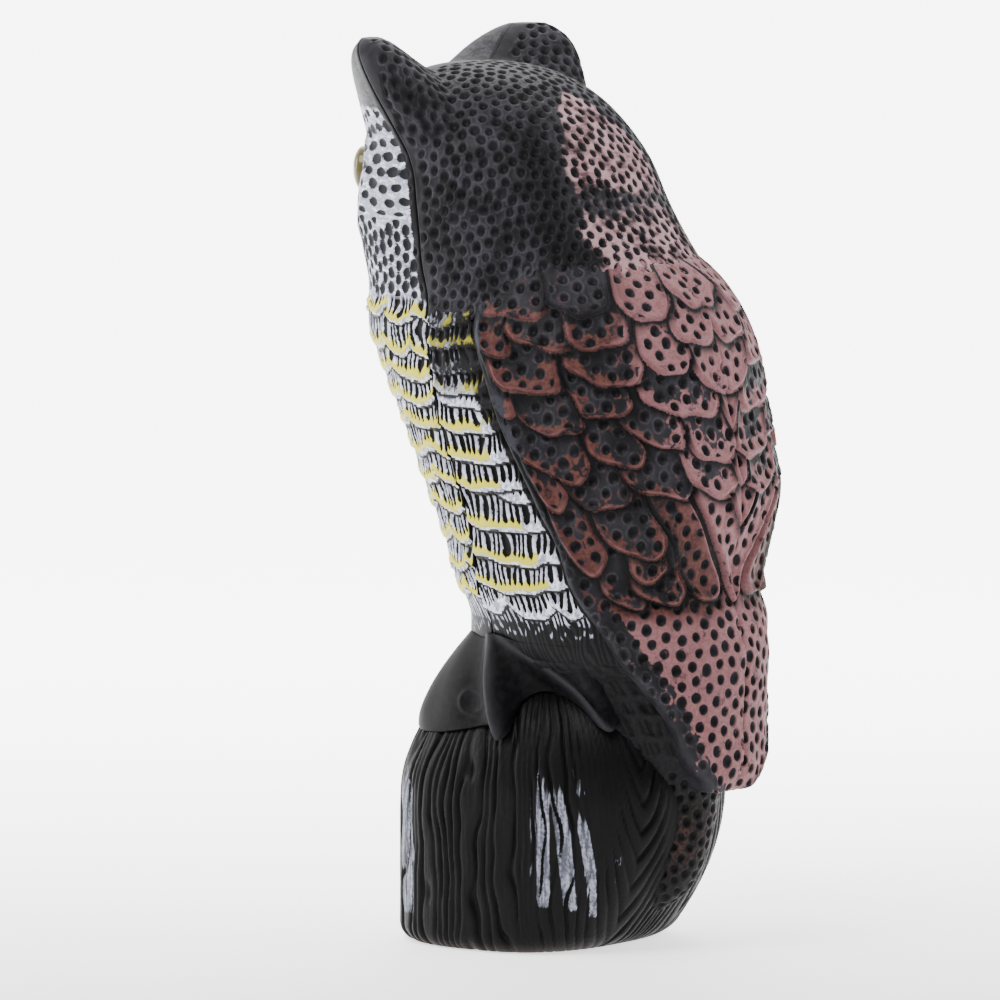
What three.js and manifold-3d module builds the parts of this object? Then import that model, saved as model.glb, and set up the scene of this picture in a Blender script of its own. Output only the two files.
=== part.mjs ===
// A garden owl decoy: a great horned owl on a fluted tree stump, moulded as one piece, with two set-in eyes.
// Millimetres, +Z up. The owl faces -Y, its own left is +X, and the origin lies in the stump underside.
import * as THREE from "three";
import { mergeVertices } from "three/addons/utils/BufferGeometryUtils.js";
import Module from "manifold-3d";

const wasm = await Module();
wasm.setup();

// Driving sizes of the stump
const STUMP_HEIGHT = 120;
const STUMP_WIDTH = 120;
const STUMP_FRONT = 61; // from the middle to the front face
const STUMP_BACK = 83; // from the middle to the back face, under the tail
const STUMP_HEEL = 37; // how far the underside's back edge lies in front of the back face
const STUMP_HEEL_RISE = 72; // how high the heel's curve goes
const STUMP_SHOULDER_IN = 38; // the rounded shoulder, measured inwards
const STUMP_SHOULDER_DOWN = 52; // and downwards
const STUMP_FOOT_ROUND = 8;
const FLUTE_PITCH = 8.6; // from one bark ridge to the next
const FLUTE_DEPTH = 2.2;

// Driving sizes of the owl
const OWL_HEIGHT = 284; // from the stump's top to the ear tips
const WING_STEP = 4.5; // how far the wings stand out from the body
const WING_DEPTH = 17; // thickness of the wing's slab, most of it sunk in the body
const WING_LAP = 1.2; // how far each wing passes the middle of the back
const WING_EDGE_ROUND = 5; // how far in from each border the wing rounds off
const WING_BACK_ROUND = 4;
const WING_TOP_ROUND = 12;
const WING_TIP_ROUND = 14;
const WING_TUCK = 1.5; // how far a rounded border sinks into the body
const CARVING_STEP = 6; // a breast row takes two steps, a wing row three
const BREAST_RELIEF = 1.6;
const WING_RELIEF = 2.4;
const FEATHER_WIDTH = 25;
const TAIL_GROUND_GAP = 15;
const FOOT_STEP = 1.5; // how far a foot's hem stands out from the stump
const FOOT_DEPTH = 20; // thickness of a foot's slab, most of it sunk in

// Driving sizes of the eyes
const EYE_DIAMETER = 20;
const EYE_DOME = 4.5; // how far the dome stands out from its rim
const EYE_SEAT = 6; // depth of the socket
const EYE_SINK = 0.4; // how far the rim lies under the face's surface
const EYE_TURN = THREE.MathUtils.degToRad(24); // how far each eye looks outwards
const EYE_GAP = 0.3; // clearance between an eye and its socket

// Mesh fineness
const COLUMNS_PER_FEATHER = 3;
const NECK_RINGS = 5;
const DOME_RINGS = 6;
const EYE_SIDES = 16;
const EYE_DOME_STEPS = 4;

// Squareness of the level sections
const STUMP_POWER = 2.5; // 2 is an ellipse, more is squarer
const BODY_POWER = 2.2;
const HEAD_POWER = 2.4;
const DOME_POWER = 2.5;

const { clamp, lerp, smoothstep, degToRad } = THREE.MathUtils;
const up = (share) => STUMP_HEIGHT + share * OWL_HEIGHT;
const span = (share) => share * OWL_HEIGHT;

// The owl's free form, in shares of its height from the stump's top: place, half width, half depth, middle
const BODY_STATIONS = [
  [-0.36, 0.035, 0.055, 0.19],
  [-0.3, 0.05, 0.073, 0.212],
  [-0.24, 0.058, 0.08, 0.226],
  [-0.18, 0.068, 0.086, 0.23],
  [-0.12, 0.1, 0.108, 0.222],
  [-0.06, 0.122, 0.148, 0.2],
  [0, 0.142, 0.196, 0.158],
  [0.042, 0.178, 0.231, 0.134],
  [0.104, 0.2, 0.228, 0.129],
  [0.167, 0.22, 0.233, 0.113],
  [0.229, 0.237, 0.246, 0.11],
  [0.295, 0.255, 0.26, 0.1],
  [0.358, 0.265, 0.266, 0.083],
  [0.42, 0.27, 0.273, 0.062],
  [0.483, 0.267, 0.284, 0.041],
  [0.547, 0.257, 0.291, 0.016],
  [0.61, 0.24, 0.275, -0.005],
  [0.674, 0.232, 0.253, -0.0375],
  [0.736, 0.232, 0.231, -0.0625],
  [0.799, 0.232, 0.217, -0.076],
  [0.861, 0.232, 0.215, -0.1],
  [0.951, 0.232, 0.215, -0.128],
];
const WING_STATIONS = [
  [-0.21, 0.12, 0.15, 0.218],
  [-0.12, 0.158, 0.178, 0.2],
  [-0.055, 0.172, 0.184, 0.194],
  [0.042, 0.194, 0.243, 0.139],
  [0.104, 0.215, 0.236, 0.134],
  [0.167, 0.236, 0.239, 0.116],
  [0.229, 0.253, 0.25, 0.115],
  [0.295, 0.271, 0.267, 0.108],
  [0.358, 0.281, 0.274, 0.09],
  [0.42, 0.285, 0.281, 0.069],
  [0.483, 0.281, 0.292, 0.049],
  [0.547, 0.271, 0.299, 0.023],
  [0.61, 0.252, 0.283, 0.002],
  [0.66, 0.24, 0.262, -0.025],
];
// Where each wing's leading edge runs: place, degrees round from the breast
const WING_EDGE = [
  [-0.2, 174],
  [-0.18, 165],
  [-0.12, 146],
  [-0.055, 136],
  [0.042, 125],
  [0.125, 112.5],
  [0.215, 107],
  [0.295, 101],
  [0.5, 95],
  [0.66, 97],
];
const WING_TOP = 0.645;
const WING_TIP = -0.165;
const WING_CARVED_FOOT = 0.06;
const BREAST_TOP = 0.585;
const BREAST_FOOT = 0.042;
const DOME_START = 0.715;
const CROWN = 0.951;
const TAIL_END = (TAIL_GROUND_GAP - STUMP_HEIGHT) / OWL_HEIGHT;
const TAIL_ROUND = 0.05;
const TAIL_RINGS = [0.005, 0.03, 0.09, 0.17, 0.25, 0.33]; // rises above the tail's end
const WING_TIP_ROWS = [0, 0.01, 0.035, 0.08, 0.13, 0.185]; // rises above the wing's tip

// The face: a dished disc round each eye inside a raised rim, under a slanting brow, in shares of the height
const EYE_PLACE = { angle: degToRad(34), height: 0.785 };
const DISC = { reach: 0.092, dip: 0.004, flat: 0.03, slope: 0.075, rim: 0.004, rimWidth: 0.014 };
const BROW = { foot: 0.835, rise: 0.075, height: 0.006, width: 0.02, reach: 1.6 };
const BEAK_LEVEL = 0.74;

// The ear tufts are pulled out of the crown round a root, and their crest runs outwards and back
const EAR = {
  root: [0.185, -0.139, 0.893],
  pull: [0.071, -0.021, 0.094],
  long: 0.195,
  thick: 0.075,
  tall: 0.07,
};
const EAR_TURN = degToRad(50);
const EAR_POWER = 3; // more makes a blunter tuft

// The phases of the rings that make one row of feathers, and how far each is moved down, in carving steps
const BREAST_ROW = { phases: [0.9, 0.1], nudges: [0, 0.55] };
const WING_ROW = { phases: [0.9, 0.5, 0.06], nudges: [0, 0, 0.6] };

// A smooth curve through stations of [place, value, value, ...]
function curveThrough(stations) {
  const last = stations.length - 1;
  const slope = (i, k) => {
    const before = stations[Math.max(i - 1, 0)];
    const after = stations[Math.min(i + 1, last)];
    return (after[k] - before[k]) / (after[0] - before[0]);
  };
  return (place) => {
    const at = clamp(place, stations[0][0], stations[last][0]);
    let i = 0;
    while (i < last - 1 && stations[i + 1][0] <= at) i += 1;
    const gap = stations[i + 1][0] - stations[i][0];
    const t = (at - stations[i][0]) / gap;
    return stations[i].slice(1).map((value, index) => {
      const k = index + 1;
      const next = stations[i + 1][k];
      const rise = gap * slope(i, k);
      const fall = gap * slope(i + 1, k);
      const bend = (2 * t - 3) * t * t;
      return value * (1 + bend) - next * bend + rise * t * (1 - t) ** 2 - fall * t * t * (1 - t);
    });
  };
}

const widest = Math.max(...BODY_STATIONS.map(([, halfWidth]) => halfWidth));
const girth = 2 * Math.PI * span(widest);
const wingShare = 0.22; // of the girth, under one wing
const FEATHERS_AROUND = Math.round(girth / FEATHER_WIDTH);
const FEATHERS_ACROSS = Math.round((girth * wingShare) / FEATHER_WIDTH);
const BODY_COLUMNS = FEATHERS_AROUND * COLUMNS_PER_FEATHER;

const bodyCurve = curveThrough(BODY_STATIONS);
const wingCurve = curveThrough(WING_STATIONS);
const edgeCurve = curveThrough(WING_EDGE);

// Angles run from the front round to the owl's left: 0 is -Y, a quarter turn is +X
function sectionRadius(angle, width, front, back, power) {
  const depth = Math.cos(angle) > 0 ? front : back;
  const across = (Math.abs(Math.sin(angle)) / width) ** power;
  const along = (Math.abs(Math.cos(angle)) / depth) ** power;
  return (across + along) ** (-1 / power);
}

function polarPoint(angle, radius, middle, height) {
  return new THREE.Vector3(radius * Math.sin(angle), middle - radius * Math.cos(angle), height);
}

// The angle of a column, from half a turn on the right to half a turn on the left
function columnAngle(column, columns) {
  const turn = (column / columns) * 2 * Math.PI;
  return turn <= Math.PI ? turn : turn - 2 * Math.PI;
}

// Rounds a form off to nothing over the last stretch of its length
function capFactor(share, power) {
  return (1 - clamp(share, 0, 1) ** power) ** (1 / power);
}

// A row of overlapping feathers: thin where it comes out from under the row above, thick at its lower edge
function featherHeight(phase) {
  return phase ** 0.8 - 0.4;
}

// The hang of a feather's lower edge: none between two feathers and all of it at a feather's middle
function scallop(place) {
  const within = place - Math.floor(place) - 0.5;
  return 1 - 4 * within * within;
}

const wingEdge = (place) => degToRad(edgeCurve(place)[0]);

function earPull(point) {
  const side = Math.sign(point.x) || 1;
  const [x, y, z] = EAR.root;
  const root = new THREE.Vector3(side * span(x), span(y), up(z));
  const offset = point.clone().sub(root);
  const along = side * offset.x * Math.sin(EAR_TURN) + offset.y * Math.cos(EAR_TURN);
  const aside = side * offset.x * Math.cos(EAR_TURN) - offset.y * Math.sin(EAR_TURN);
  const far = (along / span(EAR.long)) ** 2;
  const across = Math.hypot(aside / span(EAR.thick), offset.z / span(EAR.tall)) ** 2;
  const near = clamp(Math.hypot(far, across) ** 0.5, 0, 1);
  const weight = (1 - near ** EAR_POWER) ** 2;
  const [dx, dy, dz] = EAR.pull;
  return new THREE.Vector3(side * span(dx), span(dy), span(dz)).multiplyScalar(weight);
}

// A smooth ridge along zero
const ridge = (distance, width) => Math.exp(-((distance / width) ** 2));

function faceRelief(angle, place) {
  const turn = Math.abs(angle);
  const across = (turn - EYE_PLACE.angle) * widest;
  const reach = Math.hypot(across, place - EYE_PLACE.height);
  const dish = -DISC.dip * (1 - smoothstep(reach, DISC.flat, DISC.slope));
  const rim = DISC.rim * ridge(reach - DISC.reach, DISC.rimWidth);
  const browLine = BROW.foot + BROW.rise * clamp(turn / EYE_PLACE.angle, 0, BROW.reach);
  const browEnd = 1 - smoothstep(turn / EYE_PLACE.angle, BROW.reach, BROW.reach + 0.5);
  const brow = BROW.height * ridge(place - browLine, BROW.width) * browEnd;
  return span(dish + rim + brow);
}

// Breast rows: phase and row of a carving ring, and how far the lower edges hang
function breastRelief(angle, row, phase) {
  const feathers = (Math.abs(angle) / (2 * Math.PI)) * FEATHERS_AROUND + (row % 2 ? 0.5 : 0);
  return { height: BREAST_RELIEF * featherHeight(phase), hang: CARVING_STEP * 0.7 * scallop(feathers) };
}

function bodyPoint(angle, place, carving) {
  const [halfWidth, halfDepth, middle] = bodyCurve(place);
  const dome = capFactor((place - DOME_START) / (CROWN - DOME_START), DOME_POWER);
  const tail = capFactor(1 - (place - TAIL_END) / TAIL_ROUND, 2);
  const size = span(dome * tail);
  const power = lerp(BODY_POWER, HEAD_POWER, smoothstep(place, 0.6, 0.75));
  let radius = sectionRadius(angle, halfWidth * size, halfDepth * size, halfDepth * size, power);
  let height = up(place);
  if (carving) {
    const fade = 1 - smoothstep(Math.abs(angle), wingEdge(place) - 0.1, wingEdge(place) + 0.1);
    radius += carving.height * fade;
    height -= carving.hang * fade;
  }
  radius += faceRelief(angle, place) * smoothstep(place, 0.66, 0.72) * dome;
  const point = polarPoint(angle, radius, span(middle), height);
  return point.add(earPull(point));
}

// A closed skin: rings of points from the bottom up, each end drawn to its pole
function ringSkin(rings, bottom, top) {
  const columns = rings[0].length;
  const points = [bottom, ...rings.flat(), top];
  const index = [];
  const at = (ring, column) => 1 + ring * columns + (column % columns);
  for (let column = 0; column < columns; column += 1) {
    index.push(0, at(0, column + 1), at(0, column));
    index.push(points.length - 1, at(rings.length - 1, column), at(rings.length - 1, column + 1));
    for (let ring = 0; ring < rings.length - 1; ring += 1) {
      const [a, b] = [at(ring, column), at(ring, column + 1)];
      const [c, d] = [at(ring + 1, column + 1), at(ring + 1, column)];
      index.push(a, b, c, a, c, d);
    }
  }
  return indexedGeometry(points, index);
}

function indexedGeometry(points, index) {
  const geometry = new THREE.BufferGeometry().setFromPoints(points);
  geometry.setIndex(index);
  return geometry;
}

function solidOf(geometry) {
  const bare = geometry.clone();
  bare.deleteAttribute("normal");
  bare.deleteAttribute("uv");
  const merged = mergeVertices(bare, 1e-4);
  const vertProperties = merged.attributes.position.array;
  const triVerts = new Uint32Array(merged.index.array);
  return new wasm.Manifold(new wasm.Mesh({ numProp: 3, vertProperties, triVerts }));
}

function geometryOf(solid) {
  const { vertProperties, triVerts } = solid.getMesh();
  const geometry = new THREE.BufferGeometry();
  geometry.setAttribute("position", new THREE.BufferAttribute(vertProperties, 3));
  geometry.setIndex(new THREE.BufferAttribute(triVerts, 1));
  const flat = geometry.toNonIndexed();
  flat.computeVertexNormals();
  return flat;
}

// Rings of the body from the tail's end to the crown, each with its place and its breast carving
function bodyRings() {
  const step = CARVING_STEP / OWL_HEIGHT;
  const tail = TAIL_RINGS.map((rise) => ({ place: TAIL_END + rise }));
  const breast = carvedRings(BREAST_FOOT, BREAST_TOP, BREAST_ROW);
  const neckStart = breast.at(-1).place + step;
  const rings = [...tail, ...breast];
  for (let i = 0; i < NECK_RINGS; i += 1) rings.push({ place: lerp(neckStart, DOME_START, i / NECK_RINGS) });
  for (let i = 0; i < DOME_RINGS; i += 1) {
    const rise = Math.sin(((i + 0.3) / DOME_RINGS) * (Math.PI / 2)) ** (2 / DOME_POWER);
    rings.push({ place: lerp(DOME_START, CROWN, rise) });
  }
  return rings;
}

// Rings one carving step apart from a foot up to a top, each with its feather row and its phase in the row
function carvedRings(foot, top, { phases, nudges }) {
  const step = CARVING_STEP / OWL_HEIGHT;
  const count = Math.floor((top - foot) / step);
  const rings = [];
  for (let i = 0; i <= count; i += 1) {
    const turn = i % phases.length;
    const place = foot + (i - nudges[turn]) * step;
    rings.push({ place, row: Math.floor(i / phases.length), phase: phases[turn] });
  }
  return rings;
}

function bodySolid() {
  const rings = bodyRings().map(({ place, row, phase }) => {
    const ring = [];
    for (let column = 0; column < BODY_COLUMNS; column += 1) {
      const angle = columnAngle(column, BODY_COLUMNS);
      const carving = row === undefined ? null : breastRelief(angle, row, phase);
      ring.push(bodyPoint(angle, place, carving));
    }
    return ring;
  });
  const tailMiddle = span(BODY_STATIONS[0][3]);
  const bottom = new THREE.Vector3(0, tailMiddle, TAIL_GROUND_GAP);
  const crown = new THREE.Vector3(0, span(bodyCurve(CROWN)[2]), up(CROWN));
  return solidOf(ringSkin(rings, bottom, crown));
}

// A wing is a slab that hugs the body: rows go up from its tip, columns run from its leading edge to the back
function wingPoint(side, across, level, carving, depth) {
  const shoulder = lerp(-0.05, 0.02, smoothstep(across, 0, 0.35));
  const place = level + shoulder * smoothstep(level, 0.48, WING_TOP);
  const edge = wingEdge(place);
  const [halfWidth, halfDepth, middle] = wingCurve(place).map(span);
  const end = Math.PI + WING_LAP / halfDepth;
  const angle = lerp(edge, end, across);
  let radius = sectionRadius(angle, halfWidth, halfDepth, halfDepth, BODY_POWER);
  const fromEdge = (angle - edge) * radius;
  const fromBack = (end - angle) * radius;
  const fromTop = (WING_TOP - level) * OWL_HEIGHT;
  const fromTip = (place - WING_TIP) * OWL_HEIGHT;
  radius += WING_STEP * 0.35 * ridge(fromEdge - WING_EDGE_ROUND, WING_EDGE_ROUND * 0.8);
  const carved = smoothstep(fromEdge, WING_EDGE_ROUND * 1.2, WING_EDGE_ROUND * 2.8);
  radius += carving.height * carved * smoothstep(fromTop, 0, WING_TOP_ROUND);
  radius -= roundOff(fromEdge, WING_EDGE_ROUND, WING_STEP + WING_TUCK);
  radius -= roundOff(fromBack, WING_BACK_ROUND, WING_STEP * 0.7);
  radius -= roundOff(fromTop, WING_TOP_ROUND, WING_STEP + WING_TUCK);
  radius -= roundOff(fromTip, WING_TIP_ROUND, WING_STEP + WING_TUCK);
  const height = up(place) - carving.hang * carved * smoothstep(fromTop, 0, WING_TOP_ROUND * 1.7);
  return polarPoint(side * angle, radius - depth, middle, height);
}

// How far a rounded edge has dropped, at a distance from the rim
function roundOff(distance, reach, drop) {
  const share = clamp(1 - distance / reach, 0, 1);
  return drop * (1 - Math.sqrt(1 - share * share));
}

function wingRelief(across, row, phase) {
  if (row === undefined) return { height: 0, hang: 0 };
  const feathers = across * FEATHERS_ACROSS + (row % 2 ? 0.5 : 0);
  return { height: WING_RELIEF * featherHeight(phase), hang: CARVING_STEP * scallop(feathers) };
}

function wingSolid(side) {
  const tip = WING_TIP_ROWS.map((rise) => ({ place: WING_TIP + rise }));
  const carved = carvedRings(WING_CARVED_FOOT, WING_TOP - 0.02, WING_ROW);
  const rows = [...tip, ...carved, { place: WING_TOP - 0.006 }, { place: WING_TOP }];
  const count = FEATHERS_ACROSS * COLUMNS_PER_FEATHER;
  const columns = [0, 0.02];
  for (let i = 1; i <= count; i += 1) columns.push(i / count);
  const points = [];
  for (const depth of [0, WING_DEPTH]) {
    for (const { place, row, phase } of rows) {
      for (const across of columns) {
        const carving = wingRelief(across, row, phase);
        points.push(wingPoint(side, across, place, carving, depth));
      }
    }
  }
  return solidOf(indexedGeometry(points, slabIndex(rows.length, columns.length, side)));
}

// Triangles of a slab whose outer and inner sheets are the same grid, joined round the rim
function slabIndex(rows, columns, side) {
  const index = [];
  const at = (sheet, row, column) => (sheet * rows + row) * columns + column;
  const quad = (a, b, c, d) => (side > 0 ? index.push(a, b, c, a, c, d) : index.push(a, c, b, a, d, c));
  for (let row = 0; row < rows - 1; row += 1) {
    for (let column = 0; column < columns - 1; column += 1) {
      const corners = (sheet) => [
        at(sheet, row, column),
        at(sheet, row, column + 1),
        at(sheet, row + 1, column + 1),
        at(sheet, row + 1, column),
      ];
      quad(...corners(0));
      quad(...corners(1).reverse());
    }
    quad(at(0, row, 0), at(0, row + 1, 0), at(1, row + 1, 0), at(1, row, 0));
    const end = columns - 1;
    quad(at(0, row + 1, end), at(0, row, end), at(1, row, end), at(1, row + 1, end));
  }
  for (let column = 0; column < columns - 1; column += 1) {
    quad(at(0, 0, column + 1), at(0, 0, column), at(1, 0, column), at(1, 0, column + 1));
    const top = rows - 1;
    quad(at(0, top, column), at(0, top, column + 1), at(1, top, column + 1), at(1, top, column));
  }
  return index;
}

// The stump: bark ridges and grooves take turns round it, and its back edge is drawn in at the foot
function stumpPoint(angle, inset, height, groove) {
  const heel = STUMP_HEEL * clamp(1 - height / STUMP_HEEL_RISE, 0, 1) ** 2;
  const back = STUMP_BACK - heel;
  const radius = sectionRadius(angle, STUMP_WIDTH / 2, STUMP_FRONT, back, STUMP_POWER);
  return polarPoint(angle, radius - inset - groove, 0, height);
}

function shoulderInset(height) {
  const rise = clamp(1 - (STUMP_HEIGHT - height) / STUMP_SHOULDER_DOWN, 0, 1);
  return STUMP_SHOULDER_IN * (1 - Math.sqrt(1 - rise * rise));
}

function stumpSolid() {
  const flutes = Math.round((Math.PI * (STUMP_WIDTH + STUMP_FRONT + STUMP_BACK)) / 2 / FLUTE_PITCH);
  const columns = flutes * 2;
  const profile = [];
  for (const turn of [0, 0.5, 1]) {
    const lean = (turn * Math.PI) / 2;
    profile.push([STUMP_FOOT_ROUND * (1 - Math.sin(lean)), STUMP_FOOT_ROUND * (1 - Math.cos(lean))]);
  }
  const shoulder = STUMP_HEIGHT - STUMP_SHOULDER_DOWN;
  profile.push([0, lerp(STUMP_FOOT_ROUND, shoulder, 0.5)]);
  for (const turn of [0, 0.3, 0.6, 0.85]) {
    const height = shoulder + STUMP_SHOULDER_DOWN * Math.sin((turn * Math.PI) / 2);
    profile.push([shoulderInset(height), height]);
  }
  const rings = profile.map(([inset, height]) => {
    const ring = [];
    for (let column = 0; column < columns; column += 1) {
      const angle = columnAngle(column, columns);
      const wave = (height / STUMP_HEIGHT) * 7.5 + Math.abs(angle) * 3;
      const sway = 0.035 * Math.sin(wave) * Math.sign(angle);
      const groove = column % 2 ? FLUTE_DEPTH : 0;
      ring.push(stumpPoint(angle + sway, inset, height, groove));
    }
    return ring;
  });
  return solidOf(ringSkin(rings, new THREE.Vector3(0, 0, 0), new THREE.Vector3(0, 0, STUMP_HEIGHT)));
}

// A rounded limb along points of [x, y, z, radius]
function limbSolid(stations, sides, steps) {
  const curve = new THREE.CatmullRomCurve3(stations.map(([x, y, z]) => new THREE.Vector3(x, y, z)));
  const radiusAt = curveThrough(stations.map((station, i) => [i / (stations.length - 1), station[3]]));
  const frames = curve.computeFrenetFrames(steps, false);
  const rings = [];
  for (let i = 0; i <= steps; i += 1) {
    const t = i / steps;
    const centre = curve.getPoint(t);
    const [radius] = radiusAt(t);
    const ring = [];
    for (let side = 0; side < sides; side += 1) {
      const turn = (side / sides) * 2 * Math.PI;
      const offset = frames.normals[i].clone().multiplyScalar(Math.cos(turn) * radius);
      offset.addScaledVector(frames.binormals[i], Math.sin(turn) * radius);
      ring.push(centre.clone().add(offset));
    }
    rings.push(ring);
  }
  const start = curve.getPoint(0).addScaledVector(frames.tangents[0], -radiusAt(0)[0] * 0.6);
  const end = curve.getPoint(1).addScaledVector(frames.tangents[steps], radiusAt(1)[0] * 0.6);
  return solidOf(ringSkin(rings, start, end));
}

// A place on the stump's side or rounded shoulder, at a height, standing out by a distance
function onStump(angle, height, out) {
  return stumpPoint(angle, shoulderInset(height) - out, height, 0);
}

// A foot is a slab draped from the breast's lower edge over the stump's shoulder: degrees round the stump,
// how far the hem hangs below the stump's top as a share of the height, and degrees round the breast at the
// top. The hem's two low points are claws.
const FOOT_STATIONS = [
  [12, 0.067, 6],
  [30, 0.08, 16],
  [48, 0.088, 26],
  [66, 0.086, 36],
  [82, 0.077, 44],
  [94, 0.069, 51],
  [99, 0.069, 53],
  [102, 0.083, 55],
  [104, 0.088, 56],
  [106.5, 0.077, 58],
  [110, 0.043, 61],
  [117, 0.022, 67],
  [127, 0.015, 77],
  [137, 0.024, 87],
  [143, 0.042, 93],
  [149, 0.078, 99],
  [152, 0.08, 102],
  [157, 0.048, 107],
  [166, 0.03, 115],
];
const FOOT_TOP = 0.07; // where the foot meets the breast
const FOOT_TILT = 0.9; // how far its top leans back
const FOOT_SHARES = [0, 0.13, 0.38, 0.68, 1];
// Toes stand up as ridges: degrees round the stump at the hem and at the top, half width in degrees, and rise
const TOES = [
  { hem: 42, top: 52, width: 13, rise: 0.004 },
  { hem: 80, top: 68, width: 14, rise: 0.01 },
  { hem: 104, top: 102, width: 5.5, rise: 0.026 },
  { hem: 150, top: 114, width: 9, rise: 0.024 },
];

function footPoint([angle, drop, breastAngle], share, depth) {
  const [first, last] = [FOOT_STATIONS[0][0], FOOT_STATIONS.at(-1)[0]];
  const sides = smoothstep(angle, first, first + 10) * (1 - smoothstep(angle, last - 9, last));
  const turn = degToRad(angle);
  const low = onStump(turn, up(-drop), lerp(-2 * FOOT_STEP, FOOT_STEP, sides));
  const high = bodyPoint(degToRad(breastAngle), FOOT_TOP, null);
  const bend = low.clone().setZ(lerp(low.z, high.z, 0.3));
  const point = new THREE.QuadraticBezierCurve3(low, bend, high).getPoint(share);
  let rise = 0;
  for (const toe of TOES) {
    const along = smoothstep(share, -0.25, 0.3) * (1 - 0.6 * smoothstep(share, 0.5, 1));
    rise += span(toe.rise) * ridge(angle - lerp(toe.hem, toe.top, share), toe.width) * along;
  }
  const out = rise * sides - depth - FOOT_STEP * share ** 6;
  const facing = degToRad(lerp(angle, breastAngle, share));
  const tilt = share * FOOT_TILT;
  return point.add(polarPoint(facing, out * Math.cos(tilt), 0, out * Math.sin(tilt)));
}

function footSolid(side) {
  const points = [];
  for (const depth of [0, FOOT_DEPTH]) {
    for (const share of FOOT_SHARES) {
      for (const station of FOOT_STATIONS) points.push(footPoint(station, share, depth));
    }
  }
  for (const point of points) point.x *= side;
  return solidOf(indexedGeometry(points, slabIndex(FOOT_SHARES.length, FOOT_STATIONS.length, side)));
}

function beakSolid() {
  const [, halfDepth, middle] = bodyCurve(BEAK_LEVEL);
  const front = span(middle - halfDepth);
  const stations = [
    [0, front + span(0.022), up(0.8), span(0.016)],
    [0, front + span(0.002), up(0.775), span(0.024)],
    [0, front - span(0.016), up(0.735), span(0.018)],
    [0, front - span(0.016), up(0.7), span(0.004)],
  ];
  return limbSolid(stations, 8, 5);
}

// An eye is a button on the y axis that looks along -Y, grown all round by a clearance for its socket
function eyeProfile(grow, front) {
  const radius = EYE_DIAMETER / 2 + grow;
  const profile = [new THREE.Vector2(0, -EYE_SEAT - grow), new THREE.Vector2(radius, -EYE_SEAT - grow)];
  if (front) {
    profile.push(new THREE.Vector2(radius, front), new THREE.Vector2(0, front));
    return profile;
  }
  for (let i = 0; i <= EYE_DOME_STEPS; i += 1) {
    const lean = (i / EYE_DOME_STEPS) * (Math.PI / 2);
    profile.push(new THREE.Vector2(radius * Math.cos(lean), EYE_DOME * Math.sin(lean)));
  }
  return profile;
}

function placeEye(object, side) {
  const gaze = new THREE.Vector3(side * Math.sin(EYE_TURN), -Math.cos(EYE_TURN), 0);
  const face = bodyPoint(side * EYE_PLACE.angle, EYE_PLACE.height, null);
  object.position.copy(face).addScaledVector(gaze, -EYE_SINK);
  object.quaternion.setFromUnitVectors(new THREE.Vector3(0, 1, 0), gaze);
  object.updateMatrixWorld(true);
  return object;
}

function eyeMesh(side) {
  const geometry = new THREE.LatheGeometry(eyeProfile(0, 0), EYE_SIDES);
  const eye = placeEye(new THREE.Mesh(geometry, eyeMaterial), side);
  eye.name = side > 0 ? "eye_left" : "eye_right";
  return eye;
}

function socketSolid(side) {
  const geometry = new THREE.LatheGeometry(eyeProfile(EYE_GAP, EYE_DIAMETER), EYE_SIDES);
  const socket = placeEye(new THREE.Object3D(), side);
  return solidOf(geometry.applyMatrix4(socket.matrixWorld));
}

const bodyMaterial = new THREE.MeshStandardMaterial({ color: 0x46444b, roughness: 0.55, metalness: 0 });
const eyeMaterial = new THREE.MeshStandardMaterial({ color: 0xafa05f, roughness: 0.15, metalness: 0 });

function owlBody() {
  let body = bodySolid().add(stumpSolid()).add(beakSolid());
  for (const side of [1, -1]) {
    body = body.add(wingSolid(side)).add(footSolid(side)).subtract(socketSolid(side));
  }
  const mesh = new THREE.Mesh(geometryOf(body), bodyMaterial);
  mesh.name = "owl_body";
  return mesh;
}

const owl = new THREE.Group();
owl.add(owlBody(), eyeMesh(1), eyeMesh(-1));

export default owl;
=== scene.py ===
"""A moulded owl decoy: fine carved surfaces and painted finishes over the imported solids.

Lengths are metres, +Z is up, the owl faces -Y and its own left is +X. Angles run from the breast round to
the owl's left, and a place is a share of the owl's height above the stump's top, as in the part's source.
"""

import math

import bmesh
import bpy
import numpy as np
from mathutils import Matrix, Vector


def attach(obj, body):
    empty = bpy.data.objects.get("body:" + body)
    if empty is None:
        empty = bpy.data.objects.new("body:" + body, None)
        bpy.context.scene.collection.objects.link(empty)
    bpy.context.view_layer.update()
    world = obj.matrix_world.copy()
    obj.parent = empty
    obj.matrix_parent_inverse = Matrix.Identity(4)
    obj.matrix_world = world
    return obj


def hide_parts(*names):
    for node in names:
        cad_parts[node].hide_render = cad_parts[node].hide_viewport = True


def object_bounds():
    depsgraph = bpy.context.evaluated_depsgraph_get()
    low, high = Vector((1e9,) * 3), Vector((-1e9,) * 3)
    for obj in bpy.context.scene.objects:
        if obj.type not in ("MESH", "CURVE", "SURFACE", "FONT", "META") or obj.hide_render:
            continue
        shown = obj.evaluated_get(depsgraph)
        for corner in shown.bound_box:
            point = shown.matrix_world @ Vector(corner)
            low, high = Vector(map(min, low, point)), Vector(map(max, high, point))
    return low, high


bl_info = {
    "name": "Owl decoy",
    "version": (1, 0, 0),
    "blender": (4, 5, 0),
    "location": "View3D > Sidebar > Owl",
    "description": "Builds the carved and painted surfaces of a moulded owl decoy",
    "category": "Object",
}

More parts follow.
